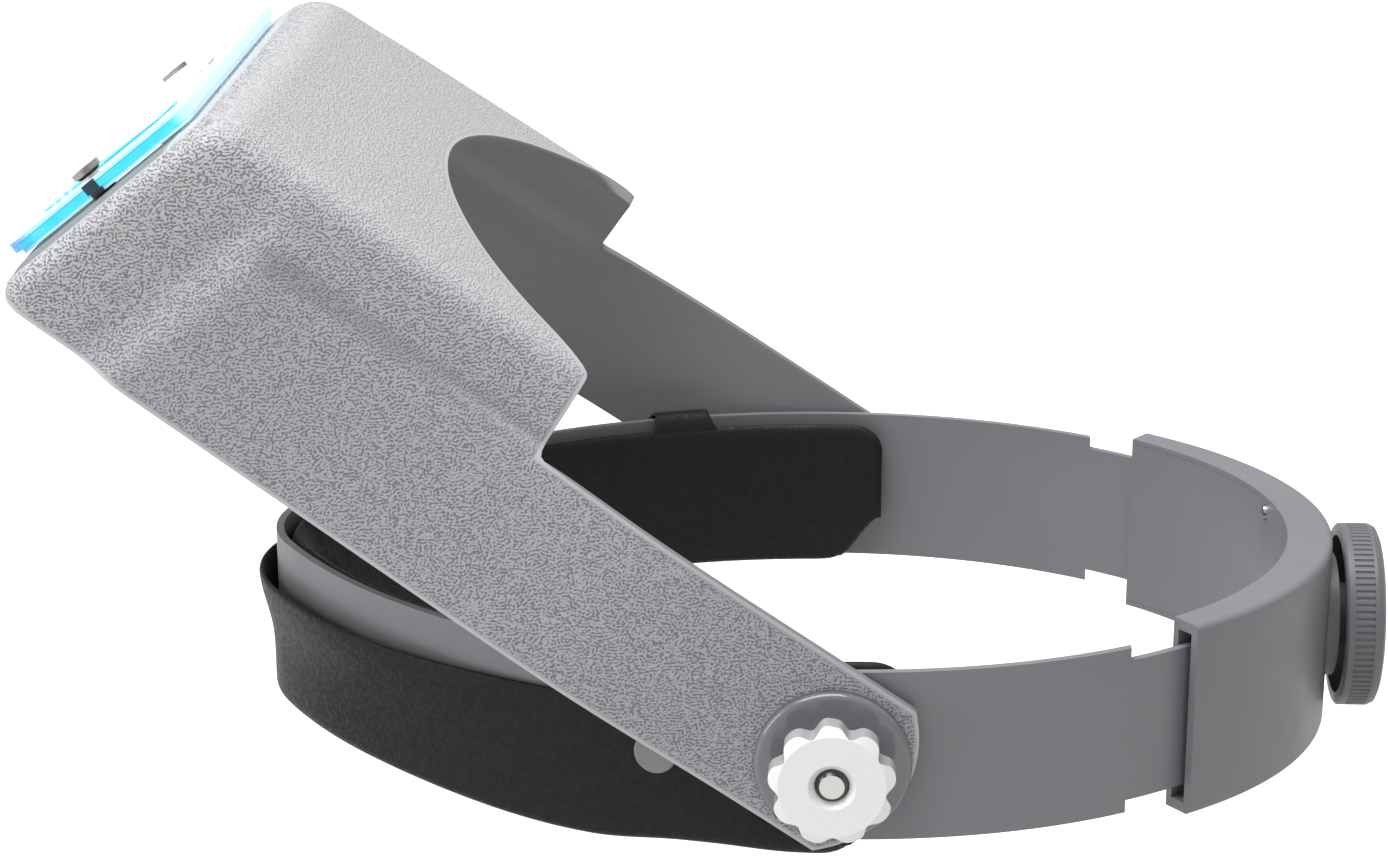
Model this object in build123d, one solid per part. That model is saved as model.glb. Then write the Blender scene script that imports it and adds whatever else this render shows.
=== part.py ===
from build123d import *
import os
from math import acos, asin, atan2, cos, degrees, pi, radians, sin, sqrt, tan

# Head visor magnifier. The origin is the middle of the visor's pivot axis, inside the head opening.
# +X is the wearer's left, +Y is the back of the head and +Z is up. The visor is drawn lowered, with
# its arms level, and then raised to its rest tilt. Lengths in millimetres, angles in degrees.

# Longer than the whole object, for cutting blocks and construction lines
FAR = 200.0

# Headband strap: an egg-shaped ring, two side arcs and a forehead arc in front, half an ellipse behind
BAND_HALF_WIDTH = 74.0
BAND_FRONT = 109.6
BAND_REAR = 90.1
FOREHEAD_RADIUS = 26.0
STRAP_THICKNESS = 1.5
STRAP_HEIGHT = 32.0
TONGUE_HEIGHT = 27.2
TONGUE_START_Y = 53.0
TONGUE_END_X = 30.0

# Sweatband: a channel folded up round the strap's lower edge
PAD_GAP = 1.9
PAD_THICKNESS = 1.6
FLAP_GAP = 0.15
FLAP_THICKNESS = 1.0
PAD_TOP_Z = 13.8
FLAP_TOP_Z = 8.0
FOLD_TOP_Z = -16.3
PAD_END_Y = 9.0
FLAP_END_Y = -18.0
STUD_Y = -31.0
STUD_Z = -1.0
STUD_RADIUS = 4.0
STUD_SHANK_RADIUS = 1.5
STUD_CAP = 0.8
SOCKET_RADIUS = 3.2
SOCKET_THICKNESS = 1.0
SOCKET_GAP = 0.1
SNUG_PLAY = 0.01

# Rear housing, a curved sleeve that takes both strap ends
HOUSING_OUTER = (76.5, 95.8)
HOUSING_CAVITY = (75.0, 94.0)
COVER_OUTER = (73.2, 88.6)
COVER_INNER = (72.0, 87.1)
HOUSING_HEIGHT = 37.0
FLANGE_THICKNESS = 2.0
COVER_RIM = 1.0
COVER_PLAY = 0.05
HOUSING_EDGE = 1.2
MOUTH_X = 54.5
MOUTH_Y = 63.8
MOUTH_ANGLE = 38.3
POST_RADIUS = 1.5
POST_START_Y = 85.5
POST_END_Y = 92.8
SCREW_X = 16.0
SCREW_Z = 15.2
SCREW_RADIUS = 0.75
SCREW_END_Y = 90.4
SCREW_HOLE_END_Y = 90.8
SCREW_HEAD_RADIUS = 1.5
SCREW_HEAD_START_Y = 84.6
SCREW_HEAD_END_Y = 85.6
SCREW_SLOT_WIDTH = 0.4
SCREW_SLOT_DEPTH = 0.4
BOSS_RADIUS = 12.0
BOSS_START_Y = 94.2
BOSS_END_Y = 97.0

# Size adjuster: knob, pinion and two curved racks
PINION_TEETH = 10
MODULE = 1.0
PRESSURE_ANGLE = 25.0
BACKLASH = 0.12
PINION_ADDENDUM = 0.9
PINION_DEDENDUM = 1.0
RACK_ADDENDUM = 0.8
RACK_DEDENDUM = 1.15
RACK_CENTRE_Y = 26.0
RACK_THICKNESS = 1.2
RIGHT_RACK_Y = 89.0
LEFT_RACK_Y = 90.4
RACK_HEIGHT = 26.8
RACK_HALF_SPAN = 17.5
SLOT_HALF_SPAN = 14.8
SLOT_PLAIN_Z = 6.4
PINION_START_Y = 88.75
PINION_FLANGE_Y = 91.75
PINION_FLANGE_END_Y = 92.4
PINION_FLANGE_RADIUS = 7.0
PINION_BORE_RADIUS = 1.3
PINION_SEAT_RADIUS = 2.4
PINION_SEAT_DEPTH = 1.6
SHAFT_RADIUS = 3.0
SHAFT_FLAT = 2.3
SHAFT_FLAT_START_Y = 97.5
SHAFT_END_Y = 102.0
PINION_SCREW_RADIUS = 1.25
PINION_SCREW_HEAD_RADIUS = 2.3
PINION_SCREW_END_Y = 103.2
SPRING_INNER_RADIUS = 3.2
SPRING_OUTER_RADIUS = 6.2
SPRING_THICKNESS = 0.5
SPRING_FRONT_GAP = 0.03
SPRING_BACK_GAP = 0.45
KNOB_RADIUS = 17.8
KNOB_START_Y = 97.7
KNOB_END_Y = 105.2
KNOB_HUB_RADIUS = 6.0
KNOB_HUB_SETBACK = 0.2
KNOB_RIM_WALL = 2.4
KNOB_FACE_WALL = 3.0
KNOB_DISH = 0.5
KNOB_RIM_FACE = 4.2
KNOB_RIBS = 84
RIB_GROOVE_RADIUS = 0.42
RIB_START_Y = 99.3
RIB_END_Y = 103.0

# Visor, drawn lowered: forward is -Y and the arms run along Y
REST_TILT = 33.8
ARM_HALF_WIDTH = 77.5
ARM_STRAIGHT = 12.0
ARM_BOW_AT = 45.0
ARM_BOW = 1.0
SHELL_THICKNESS = 2.2
ARM_BOTTOM = -16.0
ARM_TOP = 16.2
REAR_FOOT_WIDTH = 76.6
REAR_SIDE_WIDTH = 72.6
FRONT_FOOT_WIDTH = 67.5
FRONT_SIDE_WIDTH = 64.0
BAND_TOP = 18.5
BAND_RAISE = 3.0
ARM_END = -16.0
ARM_END_RADIUS = 21.8
ARM_END_CENTRE = 8.0
ARM_LOWER_CORNER = 2.0
ARM_UPPER_CORNER = 4.0
HOOD_REAR = 73.0
FRONT_FOOT = 167.2
FRONT_LEAN = 17.4
FRONT_CORNER = 3.5
FRONT_ROUND = 9.0
RIDGE_SETBACK = 23.0
ROOF_EDGE_Z = 32.2
ROOF_TOP_Z = 34.3
REAR_ROOF_WIDTH = 64.8
FRONT_ROOF_WIDTH = 57.5
ROOF_FILLET = 10.0
BROW_RADIUS = 69.5
BROW_CENTRE = 43.0
WINDOW_CORNER = 5.0

# Lens plate, drawn on the hood's sloping front face
PLATE_GAP = 0.5
PLATE_STEP = 1.0
PLATE_THICKNESS = 3.0
PLATE_WIDTH = 92.0
PLATE_HEIGHT = 43.0
PLATE_CENTRE = 22.2
PLATE_CORNER = 4.0
PLATE_INSET = 1.2
LENS_X = 19.2
LENS_WIDTH = 37.0
LENS_HEIGHT = 33.0
LENS_CORNER = 7.0
LENS_RISE = 2.2
LENS_DOME_RADIUS = 140.0
LENS_PLAY = 0.04
LENS_BACK = 0.3
WINDOW_WIDTH = 76.0
WINDOW_HEIGHT = 35.0
PLATE_SCREW_X = 41.2
PLATE_SCREW_HEIGHT = 20.6
PLATE_SCREW_TAIL = 0.8
DRIVER_SLOT = (3.8, 0.7, 1.0)
PLATE_SCREW_RADIUS = 1.5
PLATE_WASHER_RADIUS = 2.1
PLATE_WASHER = 0.6
PLATE_SCREW_HEAD_RADIUS = 2.95
PLATE_SCREW_CONE = 0.6
PLATE_SCREW_HEAD = 1.6
SPACER_RADIUS = 2.5
SPACER_SEAT = 0.8
PLATE_NUT_RADIUS = 3.1
PLATE_NUT = 2.4

# Visor pivots
BOLT_RADIUS = 3.0
BOLT_HEAD_RADIUS = 7.0
BOLT_HEAD = 1.4
BOLT_HEAD_PLAY = 0.25
BOLT_HEAD_CHAMFER = 0.7
BOLT_END_CHAMFER = 0.8
BOLT_END_X = 88.1
RUNNING_PLAY = 0.06
FRICTION_RADIUS = 9.0
SLIP_RING_RADIUS = 14.0
SLIP_RING = 0.5
DISC_RADIUS = 13.8
DISC_THICKNESS = 1.6
FACE_PLAY = 0.02
PIVOT_KNOB_LOBES = 9
LOBE_TIP_RADIUS = 11.2
LOBE_VALLEY_RADIUS = 9.5
LOBE_FULLNESS = 0.45
LOBE_TURN = 91.5
PIVOT_KNOB_HEIGHT = 8.7
PIVOT_KNOB_HUB = 4.2
PIVOT_KNOB_HUB_RADIUS = 7.2
PIVOT_KNOB_FACE_RADIUS = 9.4
LOBE_DROP = 0.9
COUNTERSINK_RADIUS = 4.2


# ---------- shared helpers ----------

def x_cylinder(radius, x0, x1, y=0.0, z=0.0):
    """Round bar along X from x0 to x1."""
    middle = Pos((x0 + x1) / 2, y, z)
    return middle * Rot(0, 90, 0) * Cylinder(radius, abs(x1 - x0))


def y_cylinder(radius, y0, y1, x=0.0, z=0.0):
    """Round bar along Y from y0 to y1."""
    middle = Pos(x, (y0 + y1) / 2, z)
    return middle * Rot(90, 0, 0) * Cylinder(radius, abs(y1 - y0))


def block(x0, x1, y0, y1, z0, z1):
    """Box between two corners."""
    centre = Pos((x0 + x1) / 2, (y0 + y1) / 2, (z0 + z1) / 2)
    return centre * Box(abs(x1 - x0), abs(y1 - y0), abs(z1 - z0))


def mirrored(shape):
    """The same shape on the wearer's right."""
    return mirror(shape, about=Plane.YZ)


def both_sides(shape):
    """A left and a right copy as one group of separate solids."""
    return Compound(children=[*shape.solids(), *mirrored(shape).solids()])


# ---------- headband ----------

def side_radius():
    """Radius of the side arcs that run smoothly into the forehead arc."""
    reach = BAND_FRONT - FOREHEAD_RADIUS
    rise = BAND_HALF_WIDTH ** 2 + reach ** 2 - FOREHEAD_RADIUS ** 2
    return rise / (2 * (BAND_HALF_WIDTH - FOREHEAD_RADIUS))


def egg_face(offset):
    """Plan of the head ring, grown by offset from the strap's middle line."""
    side = side_radius()
    turn = degrees(atan2(BAND_FRONT - FOREHEAD_RADIUS, side - BAND_HALF_WIDTH))
    centre = side - BAND_HALF_WIDTH
    left = CenterArc((-centre, 0), side + offset, 0, -turn)
    right = CenterArc((centre, 0), side + offset, 180, turn)
    forehead = CenterArc((0, FOREHEAD_RADIUS - BAND_FRONT), FOREHEAD_RADIUS + offset, -turn, 2 * turn - 180)
    rear = EllipticalCenterArc((0, 0), BAND_HALF_WIDTH + offset, BAND_REAR + offset, arc_size=180)
    return make_face([left, forehead, right, rear])


def egg_ring(inner, outer, z0, z1):
    """Ring between two offsets of the head ring, from z0 to z1."""
    return Pos(0, 0, z0) * extrude(egg_face(outer) - egg_face(inner), z1 - z0)


def band_place(y, z, side=1):
    """Place on the strap's middle line at y in front, with local X pointing straight out of it."""
    turn = degrees(asin(y / side_radius()))
    x = BAND_HALF_WIDTH - side_radius() * (1 - cos(radians(turn)))
    return Pos(side * x, y, z) * Rot(0, 0, turn if side > 0 else 180 - turn)


def headband_strap():
    half = STRAP_THICKNESS / 2
    top = STRAP_HEIGHT / 2
    strap = egg_ring(-half, half, -top, top)
    strap -= block(-TONGUE_END_X, TONGUE_END_X, 0, FAR, -top, top)
    for z in (-1, 1):
        strap -= block(-FAR, FAR, TONGUE_START_Y, FAR, z * TONGUE_HEIGHT / 2, z * STRAP_HEIGHT)
    strap -= x_cylinder(BOLT_RADIUS + RUNNING_PLAY, -FAR, FAR)
    return strap - stud_holes(-STRAP_THICKNESS)


def stud_holes(start):
    """Holes for both studs, from start out of the strap's middle line."""
    hole = x_cylinder(STUD_SHANK_RADIUS + RUNNING_PLAY, start, STUD_RADIUS)
    return [band_place(STUD_Y, STUD_Z, side) * hole for side in (1, -1)]


def sweatband():
    inner = STRAP_THICKNESS / 2 + PAD_GAP
    outer = STRAP_THICKNESS / 2 + FLAP_GAP
    bottom = -HOUSING_HEIGHT / 2
    pad = egg_ring(-inner - PAD_THICKNESS, -inner, bottom, PAD_TOP_Z)
    fold = egg_ring(-inner - PAD_THICKNESS, outer, bottom, FOLD_TOP_Z)
    flap = egg_ring(outer, outer + FLAP_THICKNESS, bottom, FLAP_TOP_Z)
    flap -= block(-FAR, FAR, FLAP_END_Y, FAR, -FAR, FAR)
    cover = pad + fold + flap
    cover -= block(-FAR, FAR, PAD_END_Y, FAR, -FAR, FAR)
    return cover - stud_holes(0)


def stud_cap():
    """Outer half of a snap stud: a domed cap on a shank through the flap and the strap."""
    face = STRAP_THICKNESS / 2 + FLAP_GAP + FLAP_THICKNESS
    cap = x_cylinder(STUD_RADIUS, face, face + STUD_CAP)
    cap = fillet(cap.edges().filter_by(GeomType.CIRCLE).sort_by(Axis.X)[-1], STUD_CAP * 0.7)
    tail = STRAP_THICKNESS / 2 + SOCKET_GAP + SOCKET_THICKNESS
    return cap + x_cylinder(STUD_SHANK_RADIUS, -tail, face)


def stud_socket():
    """Inner half of a snap stud, clenched on the shank behind the strap."""
    back = STRAP_THICKNESS / 2 + SOCKET_GAP
    ring = x_cylinder(SOCKET_RADIUS, -back - SOCKET_THICKNESS, -back)
    return ring - x_cylinder(STUD_SHANK_RADIUS + SNUG_PLAY, -FAR, FAR)


def on_band(shape):
    """A left and a right copy of a piece seated on the strap at the stud's place."""
    places = [band_place(STUD_Y, STUD_Z, side) for side in (1, -1)]
    return Compound(children=[place * shape for place in places])


# ---------- rear housing ----------

def oval_ring(inner, outer, z0, z1):
    """Ring between two ellipses given as (half width, half depth)."""
    return Pos(0, 0, z0) * extrude(Ellipse(*outer) - Ellipse(*inner), z1 - z0)


def behind_mouths(shape):
    """Keeps the part of the ring behind the two sleeve mouths."""
    shape -= block(-FAR, FAR, -FAR, MOUTH_Y / 2, -FAR, FAR)
    for side in (-1, 1):
        mouth = Pos(side * MOUTH_X, MOUTH_Y, 0) * Rot(0, 0, side * MOUTH_ANGLE)
        shape -= mouth * block(-MOUTH_X / 2, MOUTH_X / 2, -MOUTH_Y, 0, -FAR, FAR)
    return shape


def screw_bars(radius, y0, y1):
    """Four parallel bars at the cover screws' places."""
    places = [(x, z) for x in (-SCREW_X, SCREW_X) for z in (-SCREW_Z, SCREW_Z)]
    return [y_cylinder(radius, y0, y1, x, z) for x, z in places]


def outer_rim(edge):
    """True for the long outer edges of the sleeve's top and bottom."""
    middle = edge.position_at(0.5)
    reach = sqrt((middle.X / HOUSING_OUTER[0]) ** 2 + (middle.Y / HOUSING_OUTER[1]) ** 2)
    return reach > 0.999 and abs(abs(middle.Z) - HOUSING_HEIGHT / 2) < 0.01


def rear_housing():
    half = HOUSING_HEIGHT / 2
    body = behind_mouths(oval_ring(COVER_INNER, HOUSING_OUTER, -half, half))
    body = fillet([edge for edge in body.edges() if outer_rim(edge)], HOUSING_EDGE)
    body += y_cylinder(BOSS_RADIUS, BOSS_START_Y, BOSS_END_Y)
    inside = half - FLANGE_THICKNESS
    body -= oval_ring(COVER_OUTER, HOUSING_CAVITY, -inside, inside)
    lip = half - COVER_RIM
    body -= Pos(0, 0, -lip) * extrude(Ellipse(*COVER_OUTER), 2 * lip)
    behind_cover = Pos(0, 0, -half) * extrude(Ellipse(*COVER_OUTER), HOUSING_HEIGHT)
    for post in screw_bars(POST_RADIUS, POST_START_Y, POST_END_Y):
        body += post - behind_cover
    for hole in screw_bars(SCREW_RADIUS + RUNNING_PLAY, POST_START_Y, SCREW_HOLE_END_Y):
        body -= hole
    return body - y_cylinder(SHAFT_RADIUS + RUNNING_PLAY, 0, FAR)


def rear_cover():
    lip = HOUSING_HEIGHT / 2 - COVER_RIM - COVER_PLAY
    outer = (COVER_OUTER[0] - COVER_PLAY, COVER_OUTER[1] - COVER_PLAY)
    cover = behind_mouths(oval_ring(COVER_INNER, outer, -lip, lip))
    for hole in screw_bars(SCREW_RADIUS + RUNNING_PLAY, 0, SCREW_END_Y):
        cover -= hole
    for seat in screw_bars(SCREW_HEAD_RADIUS + RUNNING_PLAY, 0, SCREW_HEAD_END_Y):
        cover -= seat
    return cover


def cover_screws():
    shanks = screw_bars(SCREW_RADIUS, SCREW_HEAD_END_Y, SCREW_END_Y)
    heads = screw_bars(SCREW_HEAD_RADIUS, SCREW_HEAD_START_Y, SCREW_HEAD_END_Y)
    slot = Box(2 * SCREW_HEAD_RADIUS, 2 * SCREW_SLOT_DEPTH, SCREW_SLOT_WIDTH)
    screws = []
    for shank, head in zip(shanks, heads):
        middle = head.center()
        screws.append((shank + head - Pos(middle.X, SCREW_HEAD_START_Y, middle.Z) * slot).solid())
    return Compound(children=screws)


# ---------- size adjuster ----------

def pitch_radius():
    return MODULE * PINION_TEETH / 2


def involute_angle(radius):
    """Turn of the tooth flank at a radius, counted from the base circle, in radians."""
    base = pitch_radius() * cos(radians(PRESSURE_ANGLE))
    slope = acos(min(1.0, base / radius))
    return tan(slope) - slope


def pinion_face():
    """Toothed disc with a tooth gap at the top and at the bottom."""
    pitch = pitch_radius()
    base = pitch * cos(radians(PRESSURE_ANGLE))
    root = pitch - PINION_DEDENDUM
    tip = pitch + PINION_ADDENDUM
    half_tooth = (pi * MODULE / 2 - BACKLASH) / (2 * pitch)

    def flank_point(radius, side):
        angle = half_tooth + involute_angle(pitch) - involute_angle(max(radius, base))
        return (radius * cos(angle), side * radius * sin(angle))

    radii = [base, base + (tip - base) * 0.35, base + (tip - base) * 0.7, tip]
    upper = Spline([flank_point(r, 1) for r in radii])
    lower = Spline([flank_point(r, -1) for r in radii])
    foot = root * 0.9
    sides = [Line(flank_point(foot, s), flank_point(base, s)) for s in (1, -1)]
    ends = [Line(flank_point(r, 1), flank_point(r, -1)) for r in (tip, foot)]
    tooth = make_face([upper, lower, *sides, *ends])
    face = Circle(root)
    for k in range(PINION_TEETH):
        face += Rot(0, 0, 90 + (k + 0.5) * 360 / PINION_TEETH) * tooth
    return face


def facing_back(y):
    """Drawing plane across Y whose extrusion runs towards the front."""
    return Plane(origin=(0, y, 0), x_dir=(1, 0, 0), z_dir=(0, -1, 0))


def shaft_flat(play=0.0):
    """Block that cuts the flat on the shaft's end."""
    flat = SHAFT_FLAT + play
    return block(-FAR, FAR, SHAFT_FLAT_START_Y, FAR, flat, FAR)


def adjust_pinion():
    teeth = extrude(facing_back(PINION_FLANGE_Y) * pinion_face(), PINION_FLANGE_Y - PINION_START_Y)
    pinion = teeth + y_cylinder(PINION_FLANGE_RADIUS, PINION_FLANGE_Y, PINION_FLANGE_END_Y)
    pinion += y_cylinder(SHAFT_RADIUS, PINION_FLANGE_END_Y, SHAFT_END_Y) - shaft_flat()
    pinion -= y_cylinder(PINION_BORE_RADIUS, 0, FAR)
    return pinion - y_cylinder(PINION_SEAT_RADIUS, 0, PINION_START_Y + PINION_SEAT_DEPTH)


def pinion_screw():
    """Screw through the pinion that holds the knob on its shaft."""
    seat = PINION_START_Y + PINION_SEAT_DEPTH - FACE_PLAY
    start = PINION_START_Y + KNOB_HUB_SETBACK
    head = y_cylinder(PINION_SCREW_HEAD_RADIUS, start, seat)
    slot = Box(2 * PINION_SCREW_HEAD_RADIUS, 2 * SCREW_SLOT_DEPTH, SCREW_SLOT_WIDTH)
    return head - Pos(0, start, 0) * slot + y_cylinder(PINION_SCREW_RADIUS, seat, PINION_SCREW_END_Y)


def pinion_spring():
    """Coned spring washer that holds the pinion against turning by itself."""
    start = PINION_FLANGE_END_Y + SPRING_FRONT_GAP
    end = HOUSING_CAVITY[1] - SPRING_BACK_GAP
    slope = [(SPRING_INNER_RADIUS, start), (SPRING_OUTER_RADIUS, end - SPRING_THICKNESS),
             (SPRING_OUTER_RADIUS, end), (SPRING_INNER_RADIUS, start + SPRING_THICKNESS)]
    return revolve(make_face(Polyline(*slope, close=True)), Axis.Y)


def knob_profile():
    """Half section of the adjust knob, radius across and Y along."""
    rim = KNOB_RADIUS
    front = KNOB_START_Y
    end = KNOB_END_Y
    inner = rim - KNOB_RIM_WALL
    hub_start = front + KNOB_HUB_SETBACK
    outline = Polyline(
        (KNOB_HUB_RADIUS, hub_start), (KNOB_HUB_RADIUS, end - KNOB_FACE_WALL),
        (inner, end - KNOB_FACE_WALL), (inner, front), (rim - 0.4, front), (rim, front + 0.4),
        (rim, end - 1.6), (rim - 0.5, end - 0.5), (rim - 1.6, end), (rim - KNOB_RIM_FACE + KNOB_DISH, end),
        (rim - KNOB_RIM_FACE, end - KNOB_DISH), (0, end - KNOB_DISH), (0, hub_start), close=True)
    return make_face(outline)


def adjust_knob():
    around = PolarLocations(KNOB_RADIUS + 0.1, KNOB_RIBS)
    sections = facing_back(RIB_END_Y) * Sketch(children=around * Circle(RIB_GROOVE_RADIUS))
    knob = revolve(knob_profile(), Axis.Y) - extrude(sections, RIB_END_Y - RIB_START_Y)
    shaft_hole = y_cylinder(SHAFT_RADIUS + COVER_PLAY, 0, SHAFT_END_Y + COVER_PLAY)
    knob -= shaft_hole - shaft_flat(COVER_PLAY)
    return knob - y_cylinder(PINION_SCREW_RADIUS + COVER_PLAY, 0, PINION_SCREW_END_Y + COVER_PLAY)


def rack_tooth(front_y, turn):
    """One rack tooth pointing down at the pinion, turned about the racks' centre of curvature."""
    half = (pi * MODULE / 2 - BACKLASH) / 2
    lean = tan(radians(PRESSURE_ANGLE))
    tip = pitch_radius() - RACK_ADDENDUM
    root = pitch_radius() + RACK_DEDENDUM + BACKLASH
    low = half - RACK_ADDENDUM * lean
    high = half + (RACK_DEDENDUM + BACKLASH) * lean
    outline = Polyline((-low, tip), (low, tip), (high, root), (-high, root), close=True)
    tooth = extrude(facing_back(front_y + RACK_THICKNESS) * make_face(outline), RACK_THICKNESS)
    swing = Pos(0, RACK_CENTRE_Y, 0) * Rot(0, 0, turn) * Pos(0, -RACK_CENTRE_Y, 0)
    return swing * tooth


def arc_strip(front_y, thickness, half_span, z0, z1):
    """Curved strip round the racks' centre of curvature, centred on the pinion."""
    inner = front_y - RACK_CENTRE_Y
    face = Circle(inner + thickness) - Circle(inner)
    reach = FAR * sin(radians(half_span))
    depth = FAR * cos(radians(half_span))
    wedge = make_face(Polyline((0, 0), (reach, depth), (-reach, depth), close=True))
    return Pos(0, RACK_CENTRE_Y, z0) * extrude(face & wedge, z1 - z0)


def curved_rack(front_y):
    """Rack with its teeth on the upper edge of its slot."""
    pitch = degrees(pi * MODULE / (front_y + RACK_THICKNESS / 2 - RACK_CENTRE_Y))
    rack = arc_strip(front_y, RACK_THICKNESS, RACK_HALF_SPAN, -RACK_HEIGHT / 2, RACK_HEIGHT / 2)
    root = pitch_radius() + RACK_DEDENDUM
    rack -= arc_strip(front_y - 1, RACK_THICKNESS + 2, SLOT_HALF_SPAN, -SLOT_PLAIN_Z, root)
    reach = int(SLOT_HALF_SPAN / pitch)
    for k in range(-reach, reach + 1):
        rack += rack_tooth(front_y, k * pitch)
    return rack


# ---------- visor ----------

def along(start, end, s):
    """Value at s on a straight line from start at the hood's rear edge to end at its front foot."""
    return start + (end - start) * (s - HOOD_REAR) / (FRONT_FOOT - HOOD_REAR)


def band_widths(s):
    """Half widths over the raised band at its lower and upper edge."""
    if s <= ARM_STRAIGHT:
        return (ARM_HALF_WIDTH, ARM_HALF_WIDTH)
    if s < HOOD_REAR:
        return (ARM_HALF_WIDTH + ARM_BOW, ARM_HALF_WIDTH - ARM_BOW)
    return (along(REAR_FOOT_WIDTH, FRONT_FOOT_WIDTH, s), along(REAR_SIDE_WIDTH, FRONT_SIDE_WIDTH, s))


def front_face():
    """Plane of the hood's sloping front: X across, Y up the slope, Z straight out."""
    lean = radians(FRONT_LEAN)
    return Plane(origin=(0, -FRONT_FOOT, ARM_BOTTOM), x_dir=(1, 0, 0), z_dir=(0, -cos(lean), sin(lean)))


def side_profile(points, rounded):
    """Side view given as (forward, up) points, cut right across the visor."""
    outline = make_face(Polyline(*points, close=True))
    for corner, radius in rounded:
        near = outline.vertices().sort_by_distance((corner[0], corner[1], 0))[0]
        outline = fillet(near, radius)
    from_left = Plane(origin=(FAR, 0, 0), x_dir=(0, -1, 0), z_dir=(-1, 0, 0))
    return extrude(from_left * outline, 2 * FAR)


def across_at(s):
    """Drawing plane across the visor at s, with X across and Y up."""
    return Plane(origin=(0, -s, 0), x_dir=(1, 0, 0), z_dir=(0, -1, 0))


def band_section(s, inset, z0, z1):
    """Section over both side bands, leaning with the band's sides."""
    low, high = band_widths(s)
    lean = (high - low) / (BAND_TOP - ARM_BOTTOM)
    foot = low + lean * (z0 - ARM_BOTTOM) - inset
    head = low + lean * (z1 - ARM_BOTTOM) - inset
    return across_at(s) * make_face(Polyline((-foot, z0), (foot, z0), (head, z1), (-head, z1), close=True))


def band_form(s1, inset, z0, z1):
    """Solid between both side bands from behind the arms' ends to s1."""
    stations = [2 * ARM_END, ARM_STRAIGHT, ARM_BOW_AT, HOOD_REAR, s1]
    return loft([band_section(s, inset, z0, z1) for s in stations], ruled=True)


def hood_section(s, inset, floor_z):
    """Section across the hood: upright sides, leaning shoulders and a crowned roof."""
    low = along(REAR_FOOT_WIDTH, FRONT_FOOT_WIDTH, s) - BAND_RAISE - inset
    side = along(REAR_SIDE_WIDTH, FRONT_SIDE_WIDTH, s) - BAND_RAISE - inset
    roof = along(REAR_ROOF_WIDTH, FRONT_ROOF_WIDTH, s) - inset
    edge = ROOF_EDGE_Z - inset
    walls = Polyline((-roof, edge), (-side, BAND_TOP), (-low, floor_z), (low, floor_z), (side, BAND_TOP),
                     (roof, edge))
    crown = ThreePointArc((roof, edge), (0, ROOF_TOP_Z - inset), (-roof, edge))
    face = make_face([walls, crown])
    corners = [v for v in face.vertices() if abs(v.Y - edge) < 0.01]
    return across_at(s) * fillet(corners, ROOF_FILLET - inset)


def hood_form(s0, s1, inset, floor_z):
    return loft([hood_section(s0, inset, floor_z), hood_section(s1, inset, floor_z)], ruled=True)


def raised_band():
    """Raised side bands that run back from the hood's ridge and become the two arms."""
    slope = tan(radians(FRONT_LEAN))
    foot = FRONT_FOOT - RIDGE_SETBACK
    top = foot - (BAND_TOP - ARM_BOTTOM) * slope
    end = arm_end_points()
    corners = [(foot, ARM_BOTTOM), (top, BAND_TOP), (HOOD_REAR, BAND_TOP), (HOOD_REAR, ARM_TOP), end[2]]
    bow = ThreePointArc(*[(s, z) for s, z in reversed(end)])
    outline = make_face([Polyline(end[0], *corners), bow])
    for corner, radius in ((end[0], ARM_LOWER_CORNER), (end[2], ARM_UPPER_CORNER)):
        near = outline.vertices().sort_by_distance((corner[0], corner[1], 0))[0]
        outline = fillet(near, radius)
    from_left = Plane(origin=(FAR, 0, 0), x_dir=(0, -1, 0), z_dir=(-1, 0, 0))
    return band_form(FRONT_FOOT, 0, ARM_BOTTOM, BAND_TOP) & extrude(from_left * outline, 2 * FAR)


def arm_end_points():
    """Lower corner, middle and upper corner of the arm's bowed end, as (forward, up)."""
    middle = (ARM_TOP + ARM_BOTTOM) / 2
    reach = sqrt(ARM_END_RADIUS ** 2 - (ARM_TOP - middle) ** 2)
    corner = ARM_END_CENTRE - reach
    return [(corner, ARM_BOTTOM), (ARM_END_CENTRE - ARM_END_RADIUS, middle), (corner, ARM_TOP)]


def hood_profile():
    """Side view of the hood with its rounded lower front corner."""
    slope = tan(radians(FRONT_LEAN))
    top = 2 * ROOF_TOP_Z
    corners = [(HOOD_REAR, ARM_BOTTOM), (FRONT_FOOT, ARM_BOTTOM),
               (FRONT_FOOT - (top - ARM_BOTTOM) * slope, top), (HOOD_REAR, top)]
    return side_profile(corners, [(corners[1], FRONT_CORNER)])


def rounded_bar(width, height, corner, x, u, n0, n1):
    """Rounded rectangle standing on the front face, from n0 to n1 out of it."""
    face = Pos(x, u) * RectangleRounded(width, height, corner)
    return front_face() * Pos(0, 0, n0) * extrude(face, n1 - n0)


def front_cylinder(radius, x, n0, n1):
    """Round bar through the front face at the lens screws' height."""
    return front_face() * Pos(x, PLATE_SCREW_HEIGHT, (n0 + n1) / 2) * Cylinder(radius, n1 - n0)


def rounded_hood(rear, inset, floor_z):
    """Hood from s = rear to its front face, with the front face's side and roof edges rounded."""
    hood = hood_form(rear, FRONT_FOOT + PLATE_CORNER, inset, floor_z)
    hood &= front_face() * Pos(0, 0, -inset - FAR / 2) * Box(FAR, FAR, FAR)
    front = hood.faces().sort_by(Axis((0, 0, 0), front_face().z_dir))[-1]
    rims = [edge for edge in front.edges() if edge.center().Z > floor_z + 1]
    return fillet(rims, FRONT_ROUND - inset)


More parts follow.
